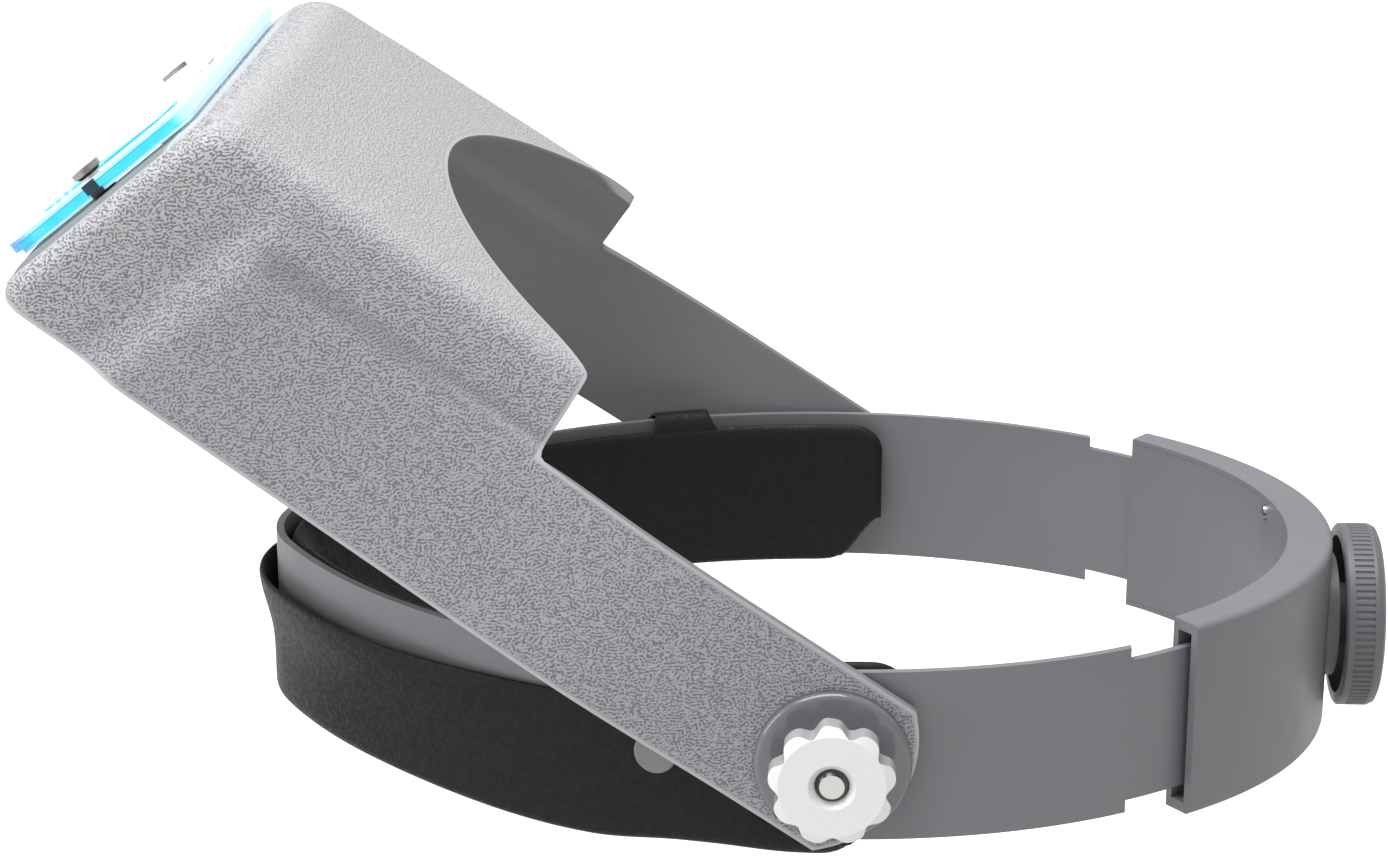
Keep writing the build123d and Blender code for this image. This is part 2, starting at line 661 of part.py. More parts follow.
def band_hollow(floor_z):
    """Space behind the raised bands, from the hood's ridge back to its rear edge."""
    slope = tan(radians(FRONT_LEAN))
    ridge = FRONT_FOOT - RIDGE_SETBACK - SHELL_THICKNESS
    head = BAND_TOP - SHELL_THICKNESS
    foot = ridge + (ARM_BOTTOM - floor_z) * slope
    profile = [(0, floor_z), (foot, floor_z), (ridge - (head - ARM_BOTTOM) * slope, head), (0, head)]
    return band_form(foot, SHELL_THICKNESS, floor_z, head) & side_profile(profile, [])


def visor_shell():
    wall = SHELL_THICKNESS
    below = ARM_BOTTOM - 10
    shell = (rounded_hood(HOOD_REAR - 5, 0, ARM_BOTTOM) & hood_profile()) + raised_band()
    shell -= rounded_hood(0, wall, below)
    shell -= band_hollow(below)
    behind_hood = block(-FAR, FAR, -HOOD_REAR, FAR, -FAR, FAR)
    shell -= band_form(FRONT_FOOT, wall, 3 * below, -3 * below) & behind_hood
    shell -= Pos(0, -BROW_CENTRE, BAND_TOP + FAR / 2) * Cylinder(BROW_RADIUS, FAR)
    shell -= rounded_bar(WINDOW_WIDTH, WINDOW_HEIGHT, WINDOW_CORNER, 0, PLATE_CENTRE, -2 * wall, wall)
    for side in (-1, 1):
        shell -= front_cylinder(PLATE_SCREW_RADIUS + RUNNING_PLAY, side * PLATE_SCREW_X, -2 * wall, wall)
    return shell - x_cylinder(BOLT_RADIUS + RUNNING_PLAY, -FAR, FAR)


def lens_plate():
    """Stepped plate with a window for each lens and a seat for each spacer."""
    back = PLATE_GAP
    step = back + PLATE_STEP
    front = back + PLATE_THICKNESS
    trim = 2 * PLATE_INSET
    play = 2 * LENS_PLAY
    plate = rounded_bar(PLATE_WIDTH, PLATE_HEIGHT, PLATE_CORNER, 0, PLATE_CENTRE, step, front)
    plate += rounded_bar(PLATE_WIDTH - trim, PLATE_HEIGHT - trim, PLATE_CORNER - PLATE_INSET, 0,
                         PLATE_CENTRE, back, step)
    for side in (-1, 1):
        plate -= rounded_bar(LENS_WIDTH + play, LENS_HEIGHT + play, LENS_CORNER + LENS_PLAY,
                             side * LENS_X, PLATE_CENTRE, 0, 2 * front)
        plate -= front_cylinder(PLATE_SCREW_RADIUS + RUNNING_PLAY, side * PLATE_SCREW_X, 0, 2 * front)
        plate -= front_cylinder(SPACER_RADIUS + RUNNING_PLAY, side * PLATE_SCREW_X, 0, back + SPACER_SEAT)
    return plate


def lens(side):
    """Plano-convex lens with a rounded rectangular edge."""
    back = PLATE_GAP + LENS_BACK
    crest = PLATE_GAP + PLATE_THICKNESS + LENS_RISE
    blank = rounded_bar(LENS_WIDTH, LENS_HEIGHT, LENS_CORNER, side * LENS_X, PLATE_CENTRE, back, crest)
    ball = Pos(side * LENS_X, PLATE_CENTRE, crest - LENS_DOME_RADIUS) * Sphere(LENS_DOME_RADIUS)
    return blank & (front_face() * ball)


def lens_fasteners():
    """Spacer, washer, screw and nut at each end of the lens plate, as groups by kind."""
    x = PLATE_SCREW_X
    wall = SHELL_THICKNESS
    front = PLATE_GAP + PLATE_THICKNESS
    top = front + PLATE_WASHER
    tail = -wall - PLATE_NUT - PLATE_SCREW_TAIL
    through = front_cylinder(PLATE_SCREW_RADIUS + RUNNING_PLAY, x, tail, 2 * top)
    spacer = front_cylinder(SPACER_RADIUS, x, FACE_PLAY, PLATE_GAP + SPACER_SEAT - FACE_PLAY) - through
    washer = front_cylinder(PLATE_WASHER_RADIUS, x, front + FACE_PLAY, top) - through
    rim = top + PLATE_SCREW_CONE
    screw = front_cylinder(PLATE_SCREW_RADIUS, x, tail, rim)
    cone = Cone(PLATE_WASHER_RADIUS, PLATE_SCREW_HEAD_RADIUS, PLATE_SCREW_CONE - FACE_PLAY)
    screw += front_face() * Pos(x, PLATE_SCREW_HEIGHT, (top + FACE_PLAY + rim) / 2) * cone
    screw += front_cylinder(PLATE_SCREW_HEAD_RADIUS, x, rim, top + PLATE_SCREW_HEAD)
    screw -= front_face() * Pos(x, PLATE_SCREW_HEIGHT, top + PLATE_SCREW_HEAD) * Box(*DRIVER_SLOT)
    hexagon = Pos(x, PLATE_SCREW_HEIGHT) * RegularPolygon(PLATE_NUT_RADIUS, 6)
    nut = front_face() * Pos(0, 0, -wall - PLATE_NUT) * extrude(hexagon, PLATE_NUT - FACE_PLAY)
    nut -= front_cylinder(PLATE_SCREW_RADIUS + SNUG_PLAY, x, tail, 0)
    pieces = {"lens_spacers": spacer, "lens_washers": washer, "lens_screws": screw, "lens_nuts": nut}
    return {name: both_sides(piece) for name, piece in pieces.items()}


def raised(shape):
    """Turns a visor piece from the lowered drawing to its rest tilt."""
    return Rot(-REST_TILT, 0, 0) * shape


# ---------- visor pivots ----------

def pivot_stack():
    """X of each face on the left pivot, from the strap outwards."""
    strap = BAND_HALF_WIDTH + STRAP_THICKNESS / 2
    arm_in = ARM_HALF_WIDTH - SHELL_THICKNESS
    ring = ARM_HALF_WIDTH + FACE_PLAY
    disc = ring + SLIP_RING + FACE_PLAY
    knob = disc + DISC_THICKNESS + FACE_PLAY
    return {"strap": strap, "arm": arm_in, "ring": ring, "disc": disc, "knob": knob}


def pivot_bolt():
    """Round-headed bolt from inside the strap, with a chamfered end."""
    inside = BAND_HALF_WIDTH - STRAP_THICKNESS / 2 - BOLT_HEAD_PLAY
    head = x_cylinder(BOLT_HEAD_RADIUS, inside - BOLT_HEAD, inside)
    head = chamfer(head.edges().filter_by(GeomType.CIRCLE).sort_by(Axis.X)[0], BOLT_HEAD_CHAMFER)
    shank = x_cylinder(BOLT_RADIUS, inside, BOLT_END_X)
    shank = chamfer(shank.edges().filter_by(GeomType.CIRCLE).sort_by(Axis.X)[-1], BOLT_END_CHAMFER)
    return head + shank


def pivot_washer(radius, x0, x1):
    return x_cylinder(radius, x0, x1) - x_cylinder(BOLT_RADIUS + RUNNING_PLAY, 0, FAR)


def pivot_disc(x0):
    """Broad dished washer with a rounded outer rim."""
    disc = x_cylinder(DISC_RADIUS, x0, x0 + DISC_THICKNESS)
    disc = fillet(disc.edges().filter_by(GeomType.CIRCLE).sort_by(Axis.X)[-1], DISC_THICKNESS * 0.6)
    return disc - x_cylinder(BOLT_RADIUS + RUNNING_PLAY, 0, FAR)


def lobed_face():
    """Outline with nine rounded lobes, one of them nearly straight up."""
    middle = (LOBE_TIP_RADIUS + LOBE_VALLEY_RADIUS) / 2
    swing = (LOBE_TIP_RADIUS - LOBE_VALLEY_RADIUS) / 2
    points = []
    for k in range(4 * PIVOT_KNOB_LOBES):
        angle = radians(LOBE_TURN + 90 * k / PIVOT_KNOB_LOBES)
        turn = pi * k / 2
        radius = middle + swing * (cos(turn) + LOBE_FULLNESS * sin(turn) ** 2)
        points.append((radius * cos(angle), radius * sin(angle)))
    return make_face(Spline(points, periodic=True))


def pivot_knob(x0):
    """Thumb nut on a round hub, with nine lobes that slope back from its flat face."""
    end = x0 + PIVOT_KNOB_HEIGHT
    lobes = Plane(origin=(x0 + PIVOT_KNOB_HUB, 0, 0), x_dir=(0, 1, 0), z_dir=(1, 0, 0)) * lobed_face()
    body = extrude(lobes, end - x0 - PIVOT_KNOB_HUB)
    spread = 2 * LOBE_TIP_RADIUS - PIVOT_KNOB_FACE_RADIUS
    height = LOBE_DROP * (spread - PIVOT_KNOB_FACE_RADIUS) / (LOBE_TIP_RADIUS - PIVOT_KNOB_FACE_RADIUS)
    slope = Pos(end - height / 2, 0, 0) * Rot(0, 90, 0) * Cone(spread, PIVOT_KNOB_FACE_RADIUS, height)
    body &= slope + x_cylinder(spread, x0, end - height)
    body += x_cylinder(PIVOT_KNOB_HUB_RADIUS, x0, x0 + PIVOT_KNOB_HUB)
    body -= x_cylinder(BOLT_RADIUS + RUNNING_PLAY, 0, FAR)
    depth = COUNTERSINK_RADIUS - BOLT_RADIUS
    sink = Pos(end - depth / 2, 0, 0) * Rot(0, 90, 0) * Cone(BOLT_RADIUS, COUNTERSINK_RADIUS, depth)
    return body - sink


def pivot_pieces():
    """The left pivot's pieces by name."""
    x = pivot_stack()
    return {
        "pivot_bolt": pivot_bolt(),
        "friction_washer": pivot_washer(FRICTION_RADIUS, x["strap"] + FACE_PLAY, x["arm"] - FACE_PLAY),
        "slip_ring": pivot_washer(SLIP_RING_RADIUS, x["ring"], x["ring"] + SLIP_RING),
        "pivot_disc": pivot_disc(x["disc"]),
        "pivot_knob": pivot_knob(x["knob"]),
    }


# ---------- the assembly ----------

def assembly():
    parts = {
        "visor_shell": raised(visor_shell()),
        "lens_plate": raised(lens_plate()),
        "left_lens": raised(lens(1)),
        "right_lens": raised(lens(-1)),
        "headband_strap": headband_strap(),
        "sweatband": sweatband(),
        "band_studs": on_band(stud_cap()),
        "stud_sockets": on_band(stud_socket()),
        "rear_housing": rear_housing(),
        "rear_cover": rear_cover(),
        "cover_screws": cover_screws(),
        "adjust_knob": adjust_knob(),
        "adjust_pinion": adjust_pinion(),
        "pinion_spring": pinion_spring(),
        "pinion_screw": pinion_screw(),
        "right_rack": curved_rack(RIGHT_RACK_Y),
        "left_rack": mirror(curved_rack(LEFT_RACK_Y), about=Plane.XY),
    }
    for name, piece in lens_fasteners().items():
        parts[name] = raised(piece)
    for name, piece in pivot_pieces().items():
        parts["left_" + name] = piece
        parts["right_" + name] = mirrored(piece)
    return parts


os.makedirs("parts", exist_ok=True)
for name, piece in assembly().items():
    export_step(piece, f"parts/{name}.step")
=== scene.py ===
import math
import bpy
from mathutils import Matrix, Vector


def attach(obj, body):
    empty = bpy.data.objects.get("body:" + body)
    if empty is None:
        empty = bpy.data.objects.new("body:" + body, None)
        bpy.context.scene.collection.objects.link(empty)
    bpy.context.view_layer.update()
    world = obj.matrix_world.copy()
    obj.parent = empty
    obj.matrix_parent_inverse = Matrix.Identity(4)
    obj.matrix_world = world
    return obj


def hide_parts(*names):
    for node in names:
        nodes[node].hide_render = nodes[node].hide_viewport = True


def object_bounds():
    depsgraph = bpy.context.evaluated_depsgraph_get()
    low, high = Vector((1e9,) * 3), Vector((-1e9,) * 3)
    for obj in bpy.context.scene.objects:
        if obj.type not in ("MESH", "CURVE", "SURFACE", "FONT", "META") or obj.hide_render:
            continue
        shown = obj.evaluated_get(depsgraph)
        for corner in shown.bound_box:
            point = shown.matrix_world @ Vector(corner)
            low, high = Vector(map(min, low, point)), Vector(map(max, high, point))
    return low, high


# Head visor magnifier on a pale floor. Lengths are in metres unless a name ends in _MM, in the frame
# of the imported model: +X is the wearer's left, +Y the back of the head, +Z up.

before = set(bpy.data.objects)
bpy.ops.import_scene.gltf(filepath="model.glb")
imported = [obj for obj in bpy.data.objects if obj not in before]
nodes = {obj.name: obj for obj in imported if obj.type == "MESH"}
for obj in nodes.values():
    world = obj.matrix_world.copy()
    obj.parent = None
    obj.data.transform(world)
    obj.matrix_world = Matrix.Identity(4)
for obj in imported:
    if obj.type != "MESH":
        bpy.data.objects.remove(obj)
cad_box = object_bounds()

MM = 0.001

# Camera: a long lens on the wearer's left, looking slightly down
CAMERA_PLACE = (0.6299, 0.00245, 0.2421)
CAMERA_YAW = math.radians(2.78)
CAMERA_PITCH = math.radians(18.13)
CAMERA_LENS_MM = 88.47

# Visor: its tilt at rest, and its outline when lowered. Then it reaches forward from the pivots, and
# heights are from the pivots' axis.
REST_TILT = math.radians(33.8)
ARM_BOTTOM = -16.0 * MM
ARM_TOP = 16.2 * MM
HOOD_REAR = 73.0 * MM
FRONT_FOOT = 167.2 * MM
FRONT_LEAN = math.radians(17.4)
BROW_RADIUS = 69.5 * MM
BROW_CENTRE = 43.0 * MM
BROW_FOOT = 20.0 * MM
ROOF_FROM = (20.0 * MM, 22.0 * MM)
ARM_END_RADIUS = 21.8 * MM
ARM_END_CENTRE = 8.0 * MM

# Its raised side band, the crease above the band, and the roof's crown
BAND_TOP = 18.5 * MM
BAND_RAISE = 3.0 * MM
CREASE_Z = 17.6 * MM
CREASE_DEPTH = 0.6 * MM
RIDGE_SETBACK = 23.0 * MM
ROOF_EDGE_Z = 32.2 * MM
ROOF_CROWN = 2.1 * MM
ROOF_FILLET = 10.0 * MM

# Roundings of its front edges, the window in its front face, its wall and its rims
SIDE_ROUND = 4.0 * MM
TOP_ROUND = 7.0 * MM
FOOT_ROUND = 2.2 * MM
WINDOW_HALF = (38.0 * MM, 17.5 * MM)
WINDOW_CENTRE = 22.2 * MM
WINDOW_CORNER = 5.0 * MM
WALL = 2.2 * MM
RIM_BEVEL = 0.45 * MM
RIM_ANGLE = math.radians(50)

# Half widths of the visor at places along the arm and the hood: at its foot and at the band's top.
# The roof's are at the hood's rear and at its front.
WIDTH_PLACES_MM = (-16.0, 12.0, 45.0, HOOD_REAR / MM, FRONT_FOOT / MM)
FOOT_WIDTHS_MM = (77.5, 77.5, 78.5, 76.6, 67.5)
SIDE_WIDTHS_MM = (77.5, 77.5, 76.5, 72.6, 64.0)
ROOF_WIDTHS_MM = (64.8, 57.5)

# Head ring that the strap and the sweatband follow
BAND_HALF_WIDTH = 74.0 * MM
BAND_FRONT = 109.6 * MM
FOREHEAD_RADIUS = 26.0 * MM

# Stage: light from the surroundings, the floor's own glow as the camera sees it, how far the floor lies
# under the object, and half its width
WORLD_LIGHT = 0.45
FLOOR_GLOW = 0.72
FLOOR_DROP = 46 * MM
FLOOR_HALF = 6.0


# ---------- curves ----------

def smooth(value, low, high):
    """0 below low, 1 above high, smooth in between; low may be above high."""
    t = min(1.0, max(0.0, (value - low) / (high - low)))
    return t * t * (3 - 2 * t)


def curve_value(places, values, at):
    """Smooth curve through a few values, by cubic pieces."""
    last = len(places) - 1
    k = max(i for i in range(last) if at >= places[i] or i == 0)

    def slope(i):
        low, high = max(0, i - 1), min(last, i + 1)
        return (values[high] - values[low]) / (places[high] - places[low])

    gap = places[k + 1] - places[k]
    t = min(1.0, max(0.0, (at - places[k]) / gap))
    rise = values[k + 1] - values[k]
    start, end = slope(k) * gap, slope(k + 1) * gap
    return values[k] + t * (start + t * (3 * rise - 2 * start - end + t * (start + end - 2 * rise)))


# ---------- shader helpers ----------

def put(tree, kind, inputs=None, **settings):
    """Adds a shader node. Inputs may be values or other nodes' outputs, by name or by number."""
    node = tree.nodes.new(kind)
    for name, value in settings.items():
        setattr(node, name, value)
    for name, value in (inputs or {}).items():
        if isinstance(value, bpy.types.NodeSocket):
            tree.links.new(value, node.inputs[name])
        else:
            node.inputs[name].default_value = value
    return node


def math_node(tree, operation, *values):
    """Result of one sum on numbers or sockets."""
    return put(tree, "ShaderNodeMath", dict(enumerate(values)), operation=operation).outputs[0]


def ramp(tree, value, low, high, start=0.0, end=1.0):
    """Smooth step of a value from low to high, giving start to end."""
    inputs = {"Value": value, "From Min": low, "From Max": high, "To Min": start, "To Max": end}
    node = put(tree, "ShaderNodeMapRange", inputs, interpolation_type="SMOOTHSTEP")
    return node.outputs["Result"]


def blend_colour(tree, share, first, second):
    """Colour that goes from the first to the second as the share goes from 0 to 1."""
    node = put(tree, "ShaderNodeMix", data_type="RGBA")
    for name, value in (("Factor", share), ("A", first), ("B", second)):
        socket = next(s for s in node.inputs if s.name == name and s.type in ("RGBA", "VALUE") and s.enabled)
        if isinstance(value, bpy.types.NodeSocket):
            tree.links.new(value, socket)
        elif socket.type == "RGBA":
            socket.default_value = (*value, 1.0)
        else:
            socket.default_value = value
    return next(s for s in node.outputs if s.type == "RGBA" and s.enabled)


def blend_value(tree, share, first, second):
    """Weighted mean of two numbers or sockets."""
    mix = put(tree, "ShaderNodeMix", {"Factor": share})
    for socket, value in ((mix.inputs["A"], first), (mix.inputs["B"], second)):
        if isinstance(value, bpy.types.NodeSocket):
            tree.links.new(value, socket)
        else:
            socket.default_value = value
    return mix.outputs["Result"]


def new_material(name):
    """A material, its node tree and its main shader."""
    material = bpy.data.materials.new(name)
    material.use_nodes = True
    tree = material.node_tree
    return material, tree, tree.nodes["Principled BSDF"]


def link(tree, socket, shader, name):
    """Feeds an input of the shader, in place of anything that fed it before."""
    tree.links.new(socket, shader.inputs[name])


def place(tree):
    """Place of a point of the object as it is at rest."""
    return put(tree, "ShaderNodeTexCoord").outputs["Object"]


def noise(tree, vector, size, detail=3.0, roughness=0.5):
    """Noise whose features are about size metres across."""
    inputs = {"Vector": vector, "Scale": 1 / size, "Detail": detail, "Roughness": roughness}
    return put(tree, "ShaderNodeTexNoise", inputs).outputs["Fac"]


def bump(tree, height, depth, strength):
    """Surface relief from a height, where a height of 1 stands for the depth."""
    inputs = {"Height": height, "Distance": depth, "Strength": strength}
    return put(tree, "ShaderNodeBump", inputs).outputs["Normal"]


def grazing(tree):
    """0 where a surface is seen square on, rising to 1 along the line of sight."""
    return put(tree, "ShaderNodeLayerWeight", {"Blend": 0.5}).outputs["Facing"]


def side_facing(tree):
    """How squarely a point faces along +X or -X, from 0 to 1."""
    normal = put(tree, "ShaderNodeTexCoord").outputs["Normal"]
    across = put(tree, "ShaderNodeSeparateXYZ", {0: normal}).outputs["X"]
    return math_node(tree, "ABSOLUTE", across)


def recolour(material, share, other):
    """Blends a finished material's colour with another one: share 1 keeps its own."""
    tree = material.node_tree
    shader = tree.nodes["Principled BSDF"]
    own = shader.inputs["Base Color"].links[0].from_socket
    link(tree, blend_colour(tree, share, other, own), shader, "Base Color")
    return material


# ---------- materials ----------

def satin_plastic(name, colour, roughness, variation=0.06, coat=0.0):
    """Moulded plastic: faint flow marks in its colour, a fine spark texture and slightly worn gloss."""
    material, tree, shader = new_material(name)
    where = place(tree)
    flow = noise(tree, where, 30 * MM)
    spark = noise(tree, where, 0.35 * MM, 2.0)
    dark = [c * (1 - variation) for c in colour]
    light = [c * (1 + variation) for c in colour]
    link(tree, blend_colour(tree, flow, dark, light), shader, "Base Color")
    gloss = noise(tree, where, 8 * MM, 5.0)
    link(tree, ramp(tree, gloss, 0.3, 0.7, roughness - 0.05, roughness + 0.05), shader, "Roughness")
    link(tree, bump(tree, spark, 0.03 * MM, 0.35), shader, "Normal")
    shader.inputs["Coat Weight"].default_value = coat
    shader.inputs["Coat Roughness"].default_value = 0.12
    return material


def metal(name, colour, roughness):
    """Plated steel with fine turning marks and small stains in its shine."""
    material, tree, shader = new_material(name)
    where = place(tree)
    stains = noise(tree, where, 2 * MM, 4.0)
    link(tree, blend_colour(tree, stains, [c * 0.85 for c in colour], colour), shader, "Base Color")
    link(tree, ramp(tree, stains, 0.3, 0.7, roughness * 0.7, roughness * 1.3), shader, "Roughness")
    marks = noise(tree, where, 0.15 * MM, 2.0)
    link(tree, bump(tree, marks, 0.01 * MM, 0.3), shader, "Normal")
    shader.inputs["Metallic"].default_value = 1.0
    return material


def bolt_steel():
    """Bright end face; the threads and chamfer beside it are coloured dark, a painted shade of the gap round
    the end.
    """
    material = metal("bolt_steel", (0.80, 0.78, 0.75), 0.22)
    tree = material.node_tree
    # Painted shade: every surface of the bolt that does not face along X is coloured dark
    return recolour(material, ramp(tree, side_facing(tree), 0.7, 0.97), (0.10, 0.095, 0.09))


def black_oxide():
    """Blackened steel, nearly black with a soft shine and browner worn spots."""
    material, tree, shader = new_material("black_oxide")
    where = place(tree)
    wear = noise(tree, where, 1.2 * MM, 4.0)
    link(tree, blend_colour(tree, wear, (0.012, 0.012, 0.013), (0.035, 0.033, 0.032)), shader, "Base Color")
    link(tree, ramp(tree, wear, 0.3, 0.7, 0.28, 0.45), shader, "Roughness")
    link(tree, bump(tree, noise(tree, where, 0.2 * MM), 0.015 * MM, 0.4), shader, "Normal")
    shader.inputs["Metallic"].default_value = 0.6
    return material


def rubber():
    """Black rubber with a faint dusty bloom."""
    material, tree, shader = new_material("washer_rubber")
    where = place(tree)
    bloom_and_sheen = noise(tree, where, 3 * MM, 4.0)
    link(tree, blend_colour(tree, bloom_and_sheen, (0.012, 0.012, 0.012), (0.03, 0.03, 0.03)), shader, "Base Color")
    link(tree, bump(tree, noise(tree, where, 0.3 * MM), 0.03 * MM, 0.5), shader, "Normal")
    shader.inputs["Roughness"].default_value = 0.75
    return material


def leather():
    """Black synthetic leather: tiny pebbles with fine wrinkles between them, and a painted sheen that
    lightens it towards grazing view.
    """
    material, tree, shader = new_material("sweatband_leather")
    where = place(tree)
    pebbles = put(tree, "ShaderNodeTexVoronoi", {"Vector": where, "Scale": 1 / (0.9 * MM)},
                  feature="SMOOTH_F1").outputs["Distance"]
    wrinkles = noise(tree, where, 2.5 * MM, 4.0)
    creases = noise(tree, where, 14 * MM, 2.0)
    height = math_node(tree, "MULTIPLY_ADD", wrinkles, 0.6, pebbles)
    height = math_node(tree, "MULTIPLY_ADD", creases, 2.0, height)
    link(tree, bump(tree, height, 0.12 * MM, 0.45), shader, "Normal")
    black = blend_colour(tree, wrinkles, (0.007, 0.007, 0.008), (0.014, 0.014, 0.015))
    # Painted sheen: the colour lightens where the leather is seen at a grazing angle
    bloom_and_sheen = ramp(tree, grazing(tree), 0.5, 0.95, 0.0, 0.8)
    link(tree, blend_colour(tree, bloom_and_sheen, black, (0.11, 0.11, 0.112)), shader, "Base Color")
    link(tree, ramp(tree, pebbles, 0.1, 0.6, 0.42, 0.62), shader, "Roughness")
    shader.inputs["Specular IOR Level"].default_value = 0.25
    return material


def lowered_place(tree):
    """Where a point of the visor is when the visor is lowered."""
    return put(tree, "ShaderNodeMapping", {"Vector": place(tree), "Rotation": (REST_TILT, 0, 0)},
               vector_type="POINT").outputs[0]


def lowered_normal(tree):
    """Direction that a point of the visor faces when the visor is lowered."""
    turned = put(tree, "ShaderNodeTexCoord").outputs["Normal"]
    return put(tree, "ShaderNodeMapping", {"Vector": turned, "Rotation": (REST_TILT, 0, 0)},
               vector_type="VECTOR").outputs[0]


def front_depth(tree, lowered):
    """Height above the hood's front face, and distance up its slope."""
    axes = put(tree, "ShaderNodeSeparateXYZ", {0: lowered}).outputs
    forward = math_node(tree, "SUBTRACT", math_node(tree, "MULTIPLY", axes["Y"], -1.0), FRONT_FOOT)
    up = math_node(tree, "SUBTRACT", axes["Z"], ARM_BOTTOM)
    lean_cos, lean_sin = math.cos(FRONT_LEAN), math.sin(FRONT_LEAN)
    out = math_node(tree, "MULTIPLY_ADD", forward, lean_cos, math_node(tree, "MULTIPLY", up, lean_sin))
    slope = math_node(tree, "MULTIPLY_ADD", forward, -lean_sin, math_node(tree, "MULTIPLY", up, lean_cos))
    return out, slope


# Borders in the lens plate's and its screws' colours: heights above the hood's front face
LENS_STEP = (0.95 * MM, 1.1 * MM)
PLATE_LAYER = (2.7 * MM, 2.85 * MM)
LAYER_LINE = 2.77 * MM
LAYER_LINE_HALF = (0.05 * MM, 0.14 * MM)
SCREW_HEAD_FROM = (4.3 * MM, 4.5 * MM)

# Distances up that face, and the plate's ends by their distance from the middle plane
DEEP_FOOT = (2 * MM, 7 * MM)
SHANK_SLOPE = 20.6 * MM
SHANK_HALF = (1.3 * MM, 1.6 * MM)
WASHED_TOP = (39.5 * MM, 42.5 * MM)
PLATE_END = (43 * MM, 44 * MM)


def blue_acrylic():
    """Tinted clear acrylic. Its cut edges get painted light in their colour and a painted glow: a strong
    cyan layer between pale ones, darker at the foot, nearly black where a screw's shank shows through, and
    washed out along the top. The dark shank is a painted image, and the faces get a painted sheen at grazing
    view."""
    material, tree, shader = new_material("plate_acrylic")
    where = place(tree)
    out, slope = front_depth(tree, lowered_place(tree))
    facing = put(tree, "ShaderNodeVectorMath",
                 {0: lowered_normal(tree), 1: (0, -math.cos(FRONT_LEAN), math.sin(FRONT_LEAN))},
                 operation="DOT_PRODUCT").outputs["Value"]
    edge = ramp(tree, math_node(tree, "ABSOLUTE", facing), 0.35, 0.8, 1.0, 0.0)
    cloud = noise(tree, where, 12 * MM, 2.0)
    streak = noise(tree, where, 3 * MM, 2.0)
    face = blend_colour(tree, cloud, (0.62, 0.92, 0.98), (0.72, 0.95, 0.99))
    pale = blend_colour(tree, streak, (0.42, 0.90, 0.98), (0.72, 0.97, 1.0))
    strong = blend_colour(tree, streak, (0.02, 0.62, 0.90), (0.12, 0.85, 0.98))
    glow = blend_colour(tree, ramp(tree, out, *PLATE_LAYER), strong, pale)
    glow = blend_colour(tree, ramp(tree, out, *LENS_STEP, 1.0, 0.0), glow, pale)
    line = math_node(tree, "ABSOLUTE", math_node(tree, "SUBTRACT", out, LAYER_LINE))
    glow = blend_colour(tree, ramp(tree, line, *LAYER_LINE_HALF, 0.75, 0.0), glow, (0.02, 0.30, 0.50))
    deep = ramp(tree, slope, *DEEP_FOOT, 0.85, 0.0)
    glow = blend_colour(tree, deep, glow, (0.06, 0.24, 0.58))
    # Painted image of a screw's shank seen through the edge: a near-black patch near each end of the plate
    off_shank = math_node(tree, "ABSOLUTE", math_node(tree, "SUBTRACT", slope, SHANK_SLOPE))
    across = put(tree, "ShaderNodeSeparateXYZ", {0: where}).outputs["X"]
    at_end = ramp(tree, math_node(tree, "ABSOLUTE", across), *PLATE_END)
    shank = math_node(tree, "MULTIPLY", at_end, ramp(tree, off_shank, *SHANK_HALF, 1.0, 0.0))
    glow = blend_colour(tree, shank, glow, (0.012, 0.02, 0.04))
    washed = ramp(tree, slope, *WASHED_TOP, 0.0, 0.85)
    glow = blend_colour(tree, washed, glow, (0.66, 0.86, 0.97))
    link(tree, blend_colour(tree, edge, face, glow), shader, "Base Color")
    link(tree, ramp(tree, edge, 0.0, 1.0, 0.97, 0.30), shader, "Transmission Weight")
    link(tree, ramp(tree, noise(tree, where, 1.5 * MM), 0.3, 0.7, 0.02, 0.06), shader, "Roughness")
    # Painted glow: emission lights the cut edges and gives the faces a painted sheen towards grazing view
    link(tree, blend_colour(tree, edge, (0.80, 0.93, 1.0), glow), shader, "Emission Color")
    sheen = ramp(tree, grazing(tree), 0.45, 0.8, 0.0, 0.62)
    edge_glow = blend_value(tree, washed, 0.30, 0.42)
    link(tree, blend_value(tree, edge, sheen, edge_glow), shader, "Emission Strength")
    shader.inputs["IOR"].default_value = 1.49
    return material


def lens_screw_steel():
    """Plated head outside; the shank inside the plate and the shell is coloured nearly black."""
    material = metal("lens_screw_steel", (0.50, 0.47, 0.44), 0.35)
    tree = material.node_tree
    out = front_depth(tree, lowered_place(tree))[0]
    return recolour(material, ramp(tree, out, *SCREW_HEAD_FROM), (0.02, 0.02, 0.022))


def lens_glass():
    """Clear polished lens, slightly smeared, that washes out to white at grazing view."""
    material, tree, shader = new_material("lens_clear_polish")
    where = place(tree)
    smear = noise(tree, where, 5 * MM, 3.0)
    link(tree, blend_colour(tree, smear, (0.95, 0.985, 1.0), (0.98, 1.0, 1.0)), shader, "Base Color")
    link(tree, ramp(tree, smear, 0.3, 0.7, 0.0, 0.03), shader, "Roughness")
    shader.inputs["Transmission Weight"].default_value = 1.0
    shader.inputs["IOR"].default_value = 1.5
    # Painted sheen: an emission whitens the lens towards grazing view
    shader.inputs["Emission Color"].default_value = (0.93, 0.98, 1.0, 1)
    link(tree, ramp(tree, grazing(tree), 0.45, 0.8, 0.0, 0.66), shader, "Emission Strength")
    return material


def white_plastic():
    """White moulded plastic, with walls between its lobes that take less light than its face."""
    material = satin_plastic("knob_white_plastic", (0.90, 0.90, 0.905), 0.32, 0.012)
    tree = material.node_tree
    # Painted shade: the walls between the lobes are coloured darker than the face
    return recolour(material, ramp(tree, side_facing(tree), 0.25, 0.75), (0.36, 0.36, 0.37))
